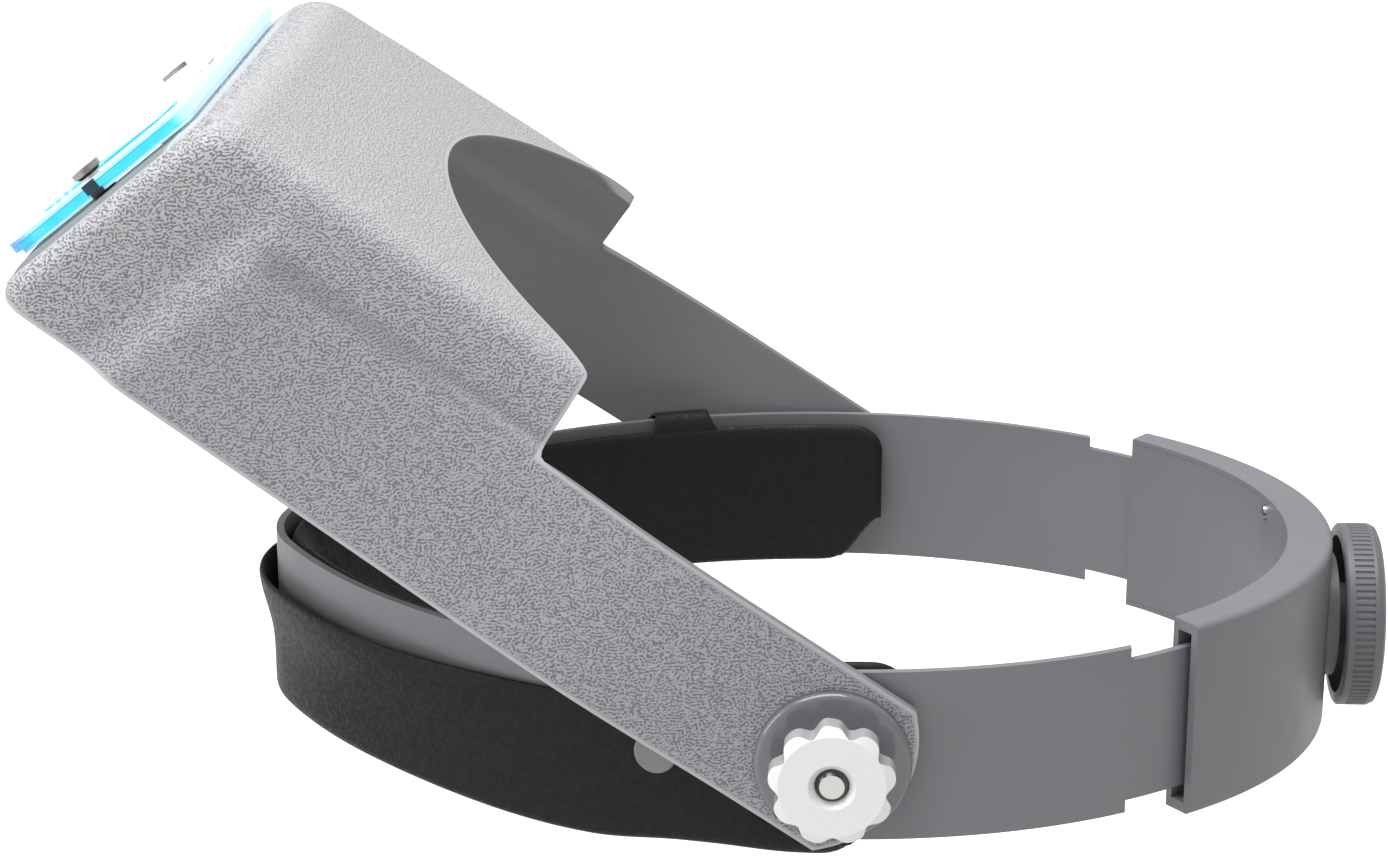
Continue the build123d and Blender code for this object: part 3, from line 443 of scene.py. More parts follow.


# Borders in the shell's finish. The grain ends short of the rims and the front, which get a painted light;
# the crease gets a painted shade, and faces that point up a painted light.
RIM_SMOOTH = (0.5 * MM, 1.2 * MM)
RIM_LIGHT = (0.4 * MM, 0.8 * MM)
FRONT_SMOOTH = (0.05 * MM, 0.5 * MM)
FRONT_LIGHT = (3 * MM, 24 * MM)
CREASE_SHADE = (0.6 * MM, 3.4 * MM)
CREASE_SHADE_END = (-4 * MM, 3 * MM)
OUTWARDS = (0.1, 0.3)
UPWARDS = (0.55, 0.97)
GRAIN_SIZE = 1.35 * MM
GRAIN_BREAKS = 0.6 * MM
GRAIN_DEPTH = 0.16 * MM


def edge_distances(tree, lowered):
    """Distance from the shell's rims, and from its front edge, by the lowered visor's outline."""
    axes = put(tree, "ShaderNodeSeparateXYZ", {0: lowered}).outputs
    forward = math_node(tree, "MULTIPLY", axes["Y"], -1.0)
    up = axes["Z"]
    from_bottom = math_node(tree, "SUBTRACT", up, ARM_BOTTOM)
    front_line = math_node(tree, "MULTIPLY_ADD", from_bottom, -math.tan(FRONT_LEAN), FRONT_FOOT)
    from_front = math_node(tree, "SUBTRACT", front_line, forward)
    from_arm_top = math_node(tree, "SUBTRACT", ARM_TOP, up)
    from_rear = math_node(tree, "SUBTRACT", forward, HOOD_REAR)
    from_corner = math_node(tree, "MAXIMUM", from_arm_top, from_rear)
    from_brow = math_node(tree, "SUBTRACT", brow_distance(tree, axes["X"], forward), BROW_RADIUS)
    below_brow = math_node(tree, "SUBTRACT", BROW_FOOT, up)
    from_brow = math_node(tree, "MAXIMUM", from_brow, below_brow)
    from_end = math_node(tree, "MAXIMUM", end_clearance(tree, forward, up), forward)
    nearest = math_node(tree, "MINIMUM", from_bottom, from_corner)
    nearest = math_node(tree, "MINIMUM", nearest, from_end)
    return math_node(tree, "MINIMUM", nearest, from_brow), from_front


def end_clearance(tree, forward, up):
    """Distance of a point inside the arm from the arm's bowed end."""
    along = math_node(tree, "SUBTRACT", forward, ARM_END_CENTRE)
    squares = math_node(tree, "MULTIPLY_ADD", along, along, math_node(tree, "MULTIPLY", up, up))
    return math_node(tree, "SUBTRACT", ARM_END_RADIUS, math_node(tree, "SQRT", squares))


def brow_distance(tree, across, forward):
    """Distance from the middle of the brow cut-out's circle."""
    along = math_node(tree, "SUBTRACT", forward, BROW_CENTRE)
    squares = math_node(tree, "MULTIPLY_ADD", along, along, math_node(tree, "MULTIPLY", across, across))
    return math_node(tree, "SQRT", squares)


def outside_share(tree, lowered, facing):
    """1 where the shell faces outwards and 0 on its inside."""
    axes = put(tree, "ShaderNodeSeparateXYZ", {0: lowered}).outputs
    normal = put(tree, "ShaderNodeSeparateXYZ", {0: facing}).outputs
    side = math_node(tree, "MULTIPLY", math_node(tree, "SIGN", axes["X"]), normal["X"])
    out_side = ramp(tree, side, *OUTWARDS)
    roof = ramp(tree, normal["Z"], *OUTWARDS)
    high = ramp(tree, axes["Z"], *ROOF_FROM)
    return math_node(tree, "MAXIMUM", out_side, math_node(tree, "MULTIPLY", roof, high))


def grain_height(tree, where):
    """Leather grain: short winding strokes and pits of even width, sunk into the surface."""
    waves = put(tree, "ShaderNodeTexGabor", {"Vector": where, "Scale": 1 / GRAIN_SIZE, "Frequency": 2.25,
                                             "Anisotropy": 0.0}, gabor_type="3D").outputs["Value"]
    breaks = noise(tree, where, GRAIN_BREAKS, 0.0)
    broken = math_node(tree, "MULTIPLY_ADD", breaks, 0.35, waves)
    return ramp(tree, broken, 0.51, 0.76)


def crease_shade(tree, lowered):
    """1 in the middle of the side's crease; the shade fades out towards the ridge in front."""
    axes = put(tree, "ShaderNodeSeparateXYZ", {0: lowered}).outputs
    forward = math_node(tree, "MULTIPLY", axes["Y"], -1.0)
    off = math_node(tree, "ABSOLUTE", math_node(tree, "SUBTRACT", axes["Z"], CREASE_Z))
    ridge = ridge_at(CREASE_Z)
    near = ramp(tree, off, *CREASE_SHADE, 1.0, 0.0)
    start, end = (ridge + past for past in CREASE_SHADE_END)
    return math_node(tree, "MULTIPLY", near, ramp(tree, forward, start, end, 1.0, 0.0))


def shell_plastic():
    """Grey moulded shell: leather grain outside, smooth rims and a smooth darker inside. Painted light lies
    on its rims, front and upward faces, and painted shade lies in its crease and its grain's pits.
    """
    material, tree, shader = new_material("shell_grain_plastic")
    where = place(tree)
    lowered = lowered_place(tree)
    outside = outside_share(tree, lowered, lowered_normal(tree))
    from_rim, from_front = edge_distances(tree, lowered)
    open_share = math_node(tree, "MULTIPLY", ramp(tree, from_rim, *RIM_SMOOTH),
                           ramp(tree, from_front, *FRONT_SMOOTH))
    share = math_node(tree, "MULTIPLY", outside, open_share)
    grain = grain_height(tree, where)
    height = math_node(tree, "MULTIPLY", grain, share)
    link(tree, bump(tree, height, GRAIN_DEPTH, 0.75), shader, "Normal")
    flow = noise(tree, where, 40 * MM, 2.0)
    base = blend_colour(tree, flow, (0.385, 0.392, 0.41), (0.415, 0.42, 0.437))
    # Painted shade along the crease, then painted light near the front edge and along the rims
    base = blend_colour(tree, crease_shade(tree, lowered), base, (0.28, 0.285, 0.30))
    base = blend_colour(tree, ramp(tree, from_front, *FRONT_LIGHT, 0.75, 0.0), base, (0.52, 0.525, 0.54))
    base = blend_colour(tree, ramp(tree, from_rim, *RIM_LIGHT, 0.4, 0.0), base, (0.66, 0.665, 0.68))
    # Painted light: faces that point up on the lowered visor are coloured lighter, pits included
    axes = put(tree, "ShaderNodeSeparateXYZ", {0: lowered_normal(tree)}).outputs
    top = ramp(tree, axes["Z"], *UPWARDS)
    base = blend_colour(tree, top, base, (0.50, 0.505, 0.52))
    # Painted shade in the grain's pits: they are coloured darker than the surface around them
    deep = blend_colour(tree, top, (0.185, 0.19, 0.202), (0.38, 0.384, 0.395))
    pit = blend_colour(tree, share, base, deep)
    outer = blend_colour(tree, grain, pit, base)
    inner = blend_colour(tree, flow, (0.20, 0.205, 0.215), (0.225, 0.23, 0.24))
    link(tree, blend_colour(tree, outside, inner, outer), shader, "Base Color")
    link(tree, ramp(tree, grain, 0.0, 1.0, 0.66, 0.52), shader, "Roughness")
    return material


def floor_material():
    """Pale matt floor with a faint mottle, and a glow that only the camera sees, so it looks white."""
    material, tree, shader = new_material("pale_floor")
    mottle = noise(tree, place(tree), 0.08, 3.0)
    link(tree, blend_colour(tree, mottle, (0.60, 0.60, 0.60), (0.63, 0.63, 0.63)), shader, "Base Color")
    shader.inputs["Roughness"].default_value = 0.9
    shader.inputs["Specular IOR Level"].default_value = 0.1
    shader.inputs["Emission Color"].default_value = (1, 1, 1, 1)
    rays = put(tree, "ShaderNodeLightPath").outputs
    seen = math_node(tree, "MAXIMUM", rays["Is Camera Ray"], rays["Is Transmission Ray"])
    link(tree, ramp(tree, seen, 0.0, 1.0, 0.0, FLOOR_GLOW), shader, "Emission Strength")
    return material


# ---------- sweatband ----------

# Section: the padded inside, the flap outside, and the fold that joins them under the strap. Offsets
# are from the head ring, and the sheet thickens into the pad over the steps of PAD_FROM.
PAD_BACK = 2.65 * MM
PAD_HALF = 0.8 * MM
PAD_CROWN = 0.75 * MM
PAD_TOP = 14.6 * MM
FLAP_CENTRE = 1.4 * MM
FLAP_HALF = 0.5 * MM
FLAP_TOP = 8.0 * MM
FLAP_END_HEIGHT = 3 * MM
FOLD_CENTRE_Z = -15.3 * MM
FOLD_DROP = 2.4 * MM
PAD_FROM = (2 * MM, 9 * MM)

# Ends: the pad's last places beside the head, its upper corner, and the heel at its lower one
PAD_END_LEFT = 13.5 * MM
PAD_END_RIGHT = 9.5 * MM
PAD_CORNER = 6 * MM
HEEL = 9 * MM
HEEL_RUN = 16 * MM

# How far the sheet strays from a straight fold, and between which places along the head it does so
FLARE = 2.6 * MM
FLARE_SPAN = (-50 * MM, -92 * MM)
FLARE_FOOT = -12 * MM
LEFT_DROOP = 1.9 * MM
DROOP_SPAN = (-88 * MM, -46 * MM)
DROOP_REGAINED = 0.75
REGAIN_SPAN = (-44 * MM, -26 * MM)
END_DROOP = 0.8 * MM
END_DROOP_SPAN = (-22 * MM, -6 * MM)
RIGHT_LIFT = 1.1 * MM
LIFT_SPAN = (-80 * MM, -50 * MM)
PAD_RISE = 1.8 * MM
RISE_SPAN = (-14 * MM, 2 * MM)
FLAP_SINK_SPAN = (-24 * MM, -12 * MM)

# Grid: places next to an edge, and how many rows and columns lie between the edges. The fold's own rows
# reach equally far up both sides, unless the sheet's lower edge comes near.
EDGE_ROWS_MM = (0.0, 0.12, 0.35, 0.7, 1.2)
EDGE_ZONE = 2 * MM
BAND_COLUMNS = 130
FLAP_ROWS = 12
FOLD_ROWS = 16
PAD_ROWS = 13
FOLD_ROWS_END = 4.6 * MM
FOLD_ROWS_GAP = 1.9 * MM
FOLD_ROWS_LEAST = 2 * MM
NUDGE = 0.05 * MM


def side_radius():
    """Radius of the ring's sides, which meet the forehead's arc smoothly."""
    reach = BAND_FRONT - FOREHEAD_RADIUS
    rise = BAND_HALF_WIDTH ** 2 + reach ** 2 - FOREHEAD_RADIUS ** 2
    return rise / (2 * (BAND_HALF_WIDTH - FOREHEAD_RADIUS))


SIDE_RADIUS = side_radius()
SIDE_SWEEP = math.atan2(BAND_FRONT - FOREHEAD_RADIUS, SIDE_RADIUS - BAND_HALF_WIDTH)
FOREHEAD_RUN = FOREHEAD_RADIUS * (math.pi / 2 - SIDE_SWEEP)


def ring_place(run):
    """Point on the head ring and its outward direction, at a run from the forehead to the left."""
    away = abs(run)
    if away < FOREHEAD_RUN:
        turn = away / FOREHEAD_RADIUS
        out = Vector((math.sin(turn), -math.cos(turn), 0))
        point = Vector((0, FOREHEAD_RADIUS - BAND_FRONT, 0)) + FOREHEAD_RADIUS * out
    else:
        turn = (away - FOREHEAD_RUN) / SIDE_RADIUS - SIDE_SWEEP
        out = Vector((math.cos(turn), math.sin(turn), 0))
        point = Vector((BAND_HALF_WIDTH - SIDE_RADIUS, 0, 0)) + SIDE_RADIUS * out
    if run < 0:
        point.x = -point.x
        out.x = -out.x
    return point, out


def run_to(y):
    """Run from the forehead along the ring to a place at y beside the head."""
    return FOREHEAD_RUN + SIDE_RADIUS * (SIDE_SWEEP + math.asin(y / SIDE_RADIUS))


def flap_path(run, z):
    """Offset of the flap's middle surface from the ring at height z: it flares out at the forehead."""
    front = smooth(abs(run), run_to(FLARE_SPAN[0]), run_to(FLARE_SPAN[1]))
    hang = smooth(z, FLARE_FOOT, FLAP_TOP)
    return FLAP_CENTRE + FLARE * front * hang * hang


def fold_sag(run):
    """How much lower the fold hangs: it droops on the left and is drawn up on the right."""
    y = ring_place(run)[0].y
    if run < 0:
        return -RIGHT_LIFT * smooth(y, *LIFT_SPAN)
    droop = smooth(y, *DROOP_SPAN) * (1 - DROOP_REGAINED * smooth(y, *REGAIN_SPAN))
    return LEFT_DROOP * droop + END_DROOP * smooth(y, *END_DROOP_SPAN)


PAD_CENTRE = -(PAD_BACK + PAD_HALF)
FOLD_HALF = (FLAP_CENTRE - PAD_CENTRE) / 2
FOLD_QUARTER = math.pi / 2 * (FOLD_HALF + FOLD_DROP) / 2


def band_point(run, step):
    """Point of the folded sheet. The step runs along the section from the fold's middle, + up the pad."""
    point, out = ring_place(run)
    if abs(step) < FOLD_QUARTER:
        turn = step / FOLD_QUARTER * math.pi / 2
        offset = (FLAP_CENTRE + PAD_CENTRE) / 2 - FOLD_HALF * math.sin(turn)
        z = FOLD_CENTRE_Z - (FOLD_DROP + fold_sag(run)) * math.cos(turn)
    elif step > 0:
        z = FOLD_CENTRE_Z + step - FOLD_QUARTER
        crown = 1 - ((z - (PAD_TOP + FOLD_CENTRE_Z) / 2) / ((PAD_TOP - FOLD_CENTRE_Z) / 2)) ** 2
        offset = PAD_CENTRE - PAD_CROWN * max(0.0, crown)
    else:
        z = FOLD_CENTRE_Z - step - FOLD_QUARTER
        offset = flap_path(run, z)
    return point + offset * out + Vector((0, 0, z))


def to_end(run):
    """Distance left to the sweatband's end on the same side."""
    return run_to(PAD_END_LEFT if run > 0 else PAD_END_RIGHT) - abs(run)


def round_off(left, radius):
    """How far a rounded corner has dropped, as a share of its radius, at a distance from the end."""
    inside = max(0.0, 1 - max(0.0, left) / radius)
    return 1 - math.sqrt(max(0.0, 1 - inside ** 2))


def band_limits(run):
    """Lowest and highest step of the sheet at a run: the flap's edge, which runs out through the fold to
    the heel, and the pad's, with a rounded corner."""
    y = ring_place(run)[0].y
    left = to_end(run)
    rise = PAD_RISE * smooth(y, *RISE_SPAN) if run > 0 else 0.0
    pad = FOLD_QUARTER + PAD_TOP + rise - FOLD_CENTRE_Z - PAD_CORNER * round_off(left, PAD_CORNER)
    tall = FLAP_TOP - FOLD_CENTRE_Z
    flap = FOLD_QUARTER + tall - (tall - FLAP_END_HEIGHT) * smooth(y, *FLAP_SINK_SPAN)
    lowest = (flap + FOLD_QUARTER + HEEL) * smooth(left, HEEL_RUN, 0) - flap
    return lowest, pad


def band_half(run, step, low, high):
    """Half thickness of the sheet: a thin flap, a padded inside, and rounded edges."""
    pad = smooth(step, *PAD_FROM)
    half = FLAP_HALF + (PAD_HALF + PAD_CROWN - FLAP_HALF) * pad
    edge = min(step - low, high - step, to_end(run))
    zone = 2 * half
    return half * math.sqrt(max(0.0, 1 - max(0.0, 1 - edge / zone) ** 2))


def spaced(start, end, count):
    """Places from start to end: close together near both ends, then evenly spread."""
    rows = [start + e * MM for e in EDGE_ROWS_MM]
    inner_start = start + EDGE_ZONE
    inner_end = end - EDGE_ZONE
    rows += [inner_start + (inner_end - inner_start) * k / count for k in range(count + 1)]
    return rows + [end - e * MM for e in reversed(EDGE_ROWS_MM)]


def sheet_normal(point_of, run, step):
    """Direction square to a sheet, by small moves along it."""
    along = point_of(run + NUDGE, step) - point_of(run - NUDGE, step)
    across = point_of(run, step + NUDGE) - point_of(run, step - NUDGE)
    return along.cross(across).normalized()


def sheet_piece(name, columns, rows_of, point_of, half_of):
    """Closed sheet with two sides that meet along its rim, from a grid of columns and rows."""
    front, back, vertices = [], [], []
    for i, run in enumerate(columns):
        rows = rows_of(run)
        front.append([])
        back.append([])
        for j, step in enumerate(rows):
            rim = i in (0, len(columns) - 1) or j in (0, len(rows) - 1)
            centre = point_of(run, step)
            shift = sheet_normal(point_of, run, step) * half_of(run, step, rows[0], rows[-1])
            front[i].append(len(vertices))
            vertices.append(centre if rim else centre + shift)
            if not rim:
                vertices.append(centre - shift)
            back[i].append(len(vertices) - 1)
    faces = []
    for i in range(len(front) - 1):
        for j in range(len(front[0]) - 1):
            faces.append((front[i][j], front[i + 1][j], front[i + 1][j + 1], front[i][j + 1]))
            faces.append((back[i][j + 1], back[i + 1][j + 1], back[i + 1][j], back[i][j]))
    return smooth_piece(name, vertices, faces)


def smooth_piece(name, vertices, faces):
    """Object from vertices and faces, with its faces turned the same way and a subdivision surface."""
    mesh = bpy.data.meshes.new(name)
    mesh.from_pydata(vertices, [], faces)
    mesh.validate()
    mesh.shade_smooth()
    piece = bpy.data.objects.new(name, mesh)
    bpy.context.scene.collection.objects.link(piece)
    bpy.context.view_layer.objects.active = piece
    piece.select_set(True)
    bpy.ops.object.mode_set(mode="EDIT")
    bpy.ops.mesh.select_all(action="SELECT")
    bpy.ops.mesh.normals_make_consistent(inside=False)
    bpy.ops.object.mode_set(mode="OBJECT")
    piece.select_set(False)
    subdivision = piece.modifiers.new("smooth", "SUBSURF")
    subdivision.levels = 1
    subdivision.render_levels = 1
    subdivision.boundary_smooth = "PRESERVE_CORNERS"
    return piece


def between(start, end, count):
    """The inner places where a stretch is cut into count equal parts."""
    return [start + (end - start) * k / count for k in range(1, count)]


def band_rows(run):
    """Steps of a column. Those round the fold stay put from column to column, so its line is smooth."""
    low, high = band_limits(run)
    first = max(low + FOLD_ROWS_GAP, -FOLD_ROWS_END)
    last = max(first + FOLD_ROWS_LEAST, FOLD_ROWS_END)
    edge_rows = [e * MM for e in EDGE_ROWS_MM]
    lower, upper = low + edge_rows[-1], high - edge_rows[-1]
    rows = [low + e for e in edge_rows] + between(lower, first, FLAP_ROWS)
    rows += [first] + between(first, last, FOLD_ROWS) + [last]
    return rows + between(last, upper, PAD_ROWS) + [high - e for e in reversed(edge_rows)]


def make_sweatband():
    """Leather cover that is folded up round the strap's lower edge: pad inside, flap outside."""
    columns = spaced(-run_to(PAD_END_RIGHT), run_to(PAD_END_LEFT), BAND_COLUMNS)
    return sheet_piece("sweatband_cover", columns, band_rows, band_point, band_half)


# Tabs: the path's corners over the strap, as offsets from the head ring and heights
TAB_OFFSETS_MM = (-4.3, -4.2, -2.9, -0.9, 1.2, 2.35, 2.3)
TAB_HEIGHTS_MM = (7.5, 13.5, 16.8, 17.5, 16.8, 13.5, 4.0)
TAB_Y = -34.5 * MM
TAB_HALF_WIDTH = 8 * MM
TAB_HALF = 0.4 * MM
TAB_NARROWING = 0.25
TAB_NARROW_SPAN = (13 * MM, 17 * MM)
TAB_COLUMNS = 10
TAB_ROWS = 22


def tab_steps():
    """Running length at each corner of the tab's path, in millimetres."""
    steps = [0.0]
    corners = list(zip(TAB_OFFSETS_MM, TAB_HEIGHTS_MM))
    for (d0, z0), (d1, z1) in zip(corners, corners[1:]):
        steps.append(steps[-1] + math.hypot(d1 - d0, z1 - z0))
    return steps


def make_tab(name, side):
    """Tab that loops from the pad over the strap's upper edge and down its outside."""
    steps = tab_steps()
    middle = side * run_to(TAB_Y)

    def point_of(across, step):
        offset = curve_value(steps, TAB_OFFSETS_MM, step / MM) * MM
        z = curve_value(steps, TAB_HEIGHTS_MM, step / MM) * MM
        narrowing = 1 - TAB_NARROWING * smooth(z, *TAB_NARROW_SPAN)
        point, out = ring_place(middle + across * narrowing)
        return point + offset * out + Vector((0, 0, z))

    def half_of(across, step, low, high):
        edge = min(step - low, high - step, TAB_HALF_WIDTH - abs(across))
        return TAB_HALF * math.sqrt(1 - max(0.0, 1 - edge / (2 * TAB_HALF)) ** 2)

    def rows_of(_across):
        return spaced(0.0, steps[-1] * MM, TAB_ROWS)

    columns = spaced(-TAB_HALF_WIDTH, TAB_HALF_WIDTH, TAB_COLUMNS)
    return sheet_piece(name, columns, rows_of, point_of, half_of)


# ---------- visor shell ----------

# A point of the lowered visor is (across, forward, up), and s is its place forward. The side band ends
# over a soft crease, whose width is given at the hood's rear with what the ridge adds, and over a soft
# ridge in front, given as a start and an end from the ridge's line.
CREASE_SOFTNESS = (2.4 * MM, 3.0 * MM)
RIDGE_FADE = (4.5 * MM, -3.5 * MM)

# The groove along the crease: its half width, how far it fades out behind the ridge, and how far behind
# the hood's rear it starts
CREASE_HALF = 5 * MM
CREASE_FADE = 12 * MM
CREASE_START = 8 * MM

# Grid: rows of a half section from the side's foot to the middle of the roof, and columns along a row
SIDE_ROWS = 13
SHOULDER_ROWS = 5
FILLET_ROWS = 7
CROWN_ROWS = 20
TOP_ROW = SIDE_ROWS + SHOULDER_ROWS + FILLET_ROWS + CROWN_ROWS
ARM_COLUMNS = 34
HOOD_COLUMNS = 36
ROUND_STEPS = 5
PANEL_RINGS = 5
FOOT_COLUMNS = 20

# Rounds of the searches for where a row ends, and for the window's edge
END_ROUNDS = 6
WINDOW_ROUNDS = 30


def ridge_at(z):
    """How far forward the ridge that ends the side band is, at height z."""
    return FRONT_FOOT - RIDGE_SETBACK - (z - ARM_BOTTOM) * math.tan(FRONT_LEAN)


def band_share(s, z):
    """1 on the raised side band, 0 in front of its ridge and above its crease, soft in between."""
    ridge = ridge_at(z)
    crease = CREASE_SOFTNESS[0] + CREASE_SOFTNESS[1] * smooth(s, HOOD_REAR, ridge)
    across = smooth(z, ARM_TOP + crease, ARM_TOP)
    return across * smooth(s, ridge + RIDGE_FADE[0], ridge + RIDGE_FADE[1])


def side_width(s, z):
    """Half width of the visor's sides at height z."""
    foot = curve_value(WIDTH_PLACES_MM, FOOT_WIDTHS_MM, s / MM) * MM
    side = curve_value(WIDTH_PLACES_MM, SIDE_WIDTHS_MM, s / MM) * MM
    lean = (side - foot) / (BAND_TOP - ARM_BOTTOM)
    return foot + lean * (z - ARM_BOTTOM) - BAND_RAISE * (1 - band_share(s, z))


def crease_dip(s, z):
    """Depth of the shallow groove along the crease, between the arm and the ridge."""
    ridge = ridge_at(CREASE_Z)
    across = smooth(abs(z - CREASE_Z), CREASE_HALF, 0.0)
    behind_ridge = smooth(s, ridge, ridge - CREASE_FADE)
    return CREASE_DEPTH * across * behind_ridge * smooth(s, HOOD_REAR - CREASE_START, HOOD_REAR)


def shoulder(s):
    """The shoulder's corners and the fillet that joins it to the crowned roof, as (x, z) values."""
    share = (s - HOOD_REAR) / (FRONT_FOOT - HOOD_REAR)
    roof = (ROOF_WIDTHS_MM[0] + (ROOF_WIDTHS_MM[1] - ROOF_WIDTHS_MM[0]) * share) * MM
    corner = Vector((roof, ROOF_EDGE_Z))
    rise = (corner - Vector((side_width(s, BAND_TOP), BAND_TOP))).normalized()
    over = Vector((-1, 2 * ROOF_CROWN / roof)).normalized()
    turn = rise.angle(over)
    reach = ROOF_FILLET * math.tan(turn / 2)
    return roof, corner - reach * rise, rise, turn, corner + reach * over


def section_point(row, s):
    """Point (x, z) of the left half of the visor's outer surface, row 0 at its lower edge."""
    if row <= SIDE_ROWS:
        low = row / SIDE_ROWS
        z = ARM_BOTTOM + (ARM_TOP - ARM_BOTTOM) * low
        return side_width(s, z) - crease_dip(s, z), z
    roof, start, rise, turn, end = shoulder(s)
    row -= SIDE_ROWS
    if row <= SHOULDER_ROWS:
        z = ARM_TOP + (start.y - ARM_TOP) * row / SHOULDER_ROWS
        lean = start.x + (z - start.y) * rise.x / rise.y
        raised = side_width(s, z) if z < BAND_TOP else lean + BAND_RAISE * band_share(s, z)
        return raised - crease_dip(s, z), z
    row -= SHOULDER_ROWS
    if row <= FILLET_ROWS:
        inward = Vector((-rise.y, rise.x))
        middle = start + ROOF_FILLET * inward
        angle = turn * row / FILLET_ROWS
        spoke = -ROOF_FILLET * inward
        x = spoke.x * math.cos(angle) - spoke.y * math.sin(angle)
        z = spoke.x * math.sin(angle) + spoke.y * math.cos(angle)
        return middle.x + x, middle.y + z
    x = end.x * (1 - (row - FILLET_ROWS) / CROWN_ROWS)
    return x, ROOF_EDGE_Z + ROOF_CROWN * (1 - (x / roof) ** 2)


def surface_point(row, s):
    """Point (across, forward, up) of the left half of the outer surface."""
    x, z = section_point(row, s)
    return Vector((x, s, z))


def rear_edge(row):
    """How far forward the shell starts on a row: the arm's bowed end, the hood's rear or the brow."""
    if row <= SIDE_ROWS:
        z = section_point(row, 0)[1] - (ARM_TOP + ARM_BOTTOM) / 2
        return ARM_END_CENTRE - math.sqrt(ARM_END_RADIUS ** 2 - z ** 2)
    s = HOOD_REAR
    for _ in range(END_ROUNDS):
        x = section_point(row, s)[0]
        s = max(HOOD_REAR, BROW_CENTRE + math.sqrt(max(0.0, BROW_RADIUS ** 2 - x ** 2)))
    return s


def front_at(z):
    """How far forward the sloping front face is at height z, with its rounded foot."""
    up = z - ARM_BOTTOM
    foot = min(FOOT_ROUND, max(0.0, FOOT_ROUND - up))
    return FRONT_FOOT - up * math.tan(FRONT_LEAN) - FOOT_ROUND + math.sqrt(FOOT_ROUND ** 2 - foot ** 2)


def front_edge_run(row):
    """Where a row would meet the front face if the edge were sharp."""
    s = FRONT_FOOT
    for _ in range(END_ROUNDS):
        s = front_at(section_point(row, s)[1])
    return s


def front_radius(row):
    """How far back the front edge's rounding starts: further on the roof than on the sides."""
    return SIDE_ROUND + (TOP_ROUND - SIDE_ROUND) * smooth(row, SIDE_ROWS, TOP_ROW - CROWN_ROWS)


def rounded_front(row):
    """Points round the front edge on a row, ending on the front face."""
    edge_s = front_edge_run(row)
    radius = front_radius(row)
    edge = surface_point(row, edge_s)
    start = surface_point(row, edge_s - radius)
    near, far = section_point(max(0, row - 1), edge_s), section_point(min(TOP_ROW, row + 1), edge_s)
    tangent = Vector((far[0] - near[0], far[1] - near[1])).normalized()
    if row == TOP_ROW:
        tangent = Vector((-1, 0))
    inward = Vector((-tangent.y, tangent.x))
    end_x = edge.x + radius * inward.x
    end_z = max(ARM_BOTTOM, edge.z + radius * inward.y * math.cos(FRONT_LEAN))
    end = Vector((end_x, front_at(end_z), end_z))
    points = []
    for k in range(1, ROUND_STEPS + 1):
        t = k / ROUND_STEPS
        weight = 2 * t * (1 - t) * math.sqrt(0.5)
        total = (1 - t) ** 2 + weight + t ** 2
        points.append(((1 - t) ** 2 * start + weight * edge + t ** 2 * end) / total)
    return points


def row_points(row):
    """Points of a row by column, from its rear edge to the front face. Rows above the arm lack the arm's."""
    rear = rear_edge(row)
    end = front_edge_run(row) - front_radius(row)
    points = {}
    if row <= SIDE_ROWS:
        for k in range(ARM_COLUMNS):
            points[k] = surface_point(row, rear + (HOOD_REAR - rear) * k / ARM_COLUMNS)
        rear = HOOD_REAR
    for k in range(HOOD_COLUMNS + 1):
        points[ARM_COLUMNS + k] = surface_point(row, rear + (end - rear) * k / HOOD_COLUMNS)
    for k, point in enumerate(rounded_front(row)):
        points[ARM_COLUMNS + HOOD_COLUMNS + 1 + k] = point
    return points


def window_edge(direction):
    """Point of the rounded window's edge in a direction from its middle."""
    near, far = 0.0, sum(WINDOW_HALF)
    for _ in range(WINDOW_ROUNDS):
        reach = (near + far) / 2
        across = max(0.0, abs(direction.x * reach) - WINDOW_HALF[0] + WINDOW_CORNER)
        up = max(0.0, abs(direction.y * reach) - WINDOW_HALF[1] + WINDOW_CORNER)
        inside = math.hypot(across, up) < WINDOW_CORNER
        near, far = (reach, far) if inside else (near, reach)
    return direction * near


def tilted(point):
    """Place in the frame of a point (across, forward, up) of the lowered visor, and the other way round:
    the same sum undoes itself."""
    x, s, z = point
    turn_cos, turn_sin = math.cos(REST_TILT), math.sin(REST_TILT)
    return Vector((x, -s * turn_cos + z * turn_sin, s * turn_sin + z * turn_cos))


def mirrored(point):
    """The same point on the other side of the middle plane."""
    return Vector((-point.x, point.y, point.z))


def window_point(point):
    """Point of the window's edge, as (across, 0, up), in the direction of a point of the front face."""
    middle = ARM_BOTTOM + WINDOW_CENTRE * math.cos(FRONT_LEAN)
    ray = Vector((point.x, (point.z - middle) / math.cos(FRONT_LEAN))).normalized()
    edge = window_edge(ray)
    return Vector((edge.x, 0, middle + edge.y * math.cos(FRONT_LEAN)))


def skin_faces(rows):
    """Faces between neighbouring rows of vertices, where both rows have them."""
    faces = []
    for low, high in zip(rows, rows[1:]):
        for k in range(ARM_COLUMNS + HOOD_COLUMNS + ROUND_STEPS):
            corners = (low.get(k), low.get(k + 1), high.get(k + 1), high.get(k))
            if None not in corners:
                faces.append(corners)
    return faces


def ring_faces(rings):
    """Faces between closed rings of vertices, each inside the one before."""
    faces = []
    for one, two in zip(rings, rings[1:]):
        for k in range(len(one)):
            n = (k + 1) % len(one)
            faces.append((one[k], two[k], two[n], one[n]))
    return faces


def add_wall(piece):
    """Gives the skin its wall inwards, and rounds the rims."""
    wall = piece.modifiers.new("wall", "SOLIDIFY")
    wall.thickness = WALL
    wall.offset = -1
    wall.use_even_offset = True
    rim = piece.modifiers.new("rim", "BEVEL")
    rim.width = RIM_BEVEL
    rim.segments = 2
    rim.limit_method = "ANGLE"
    rim.angle_limit = RIM_ANGLE


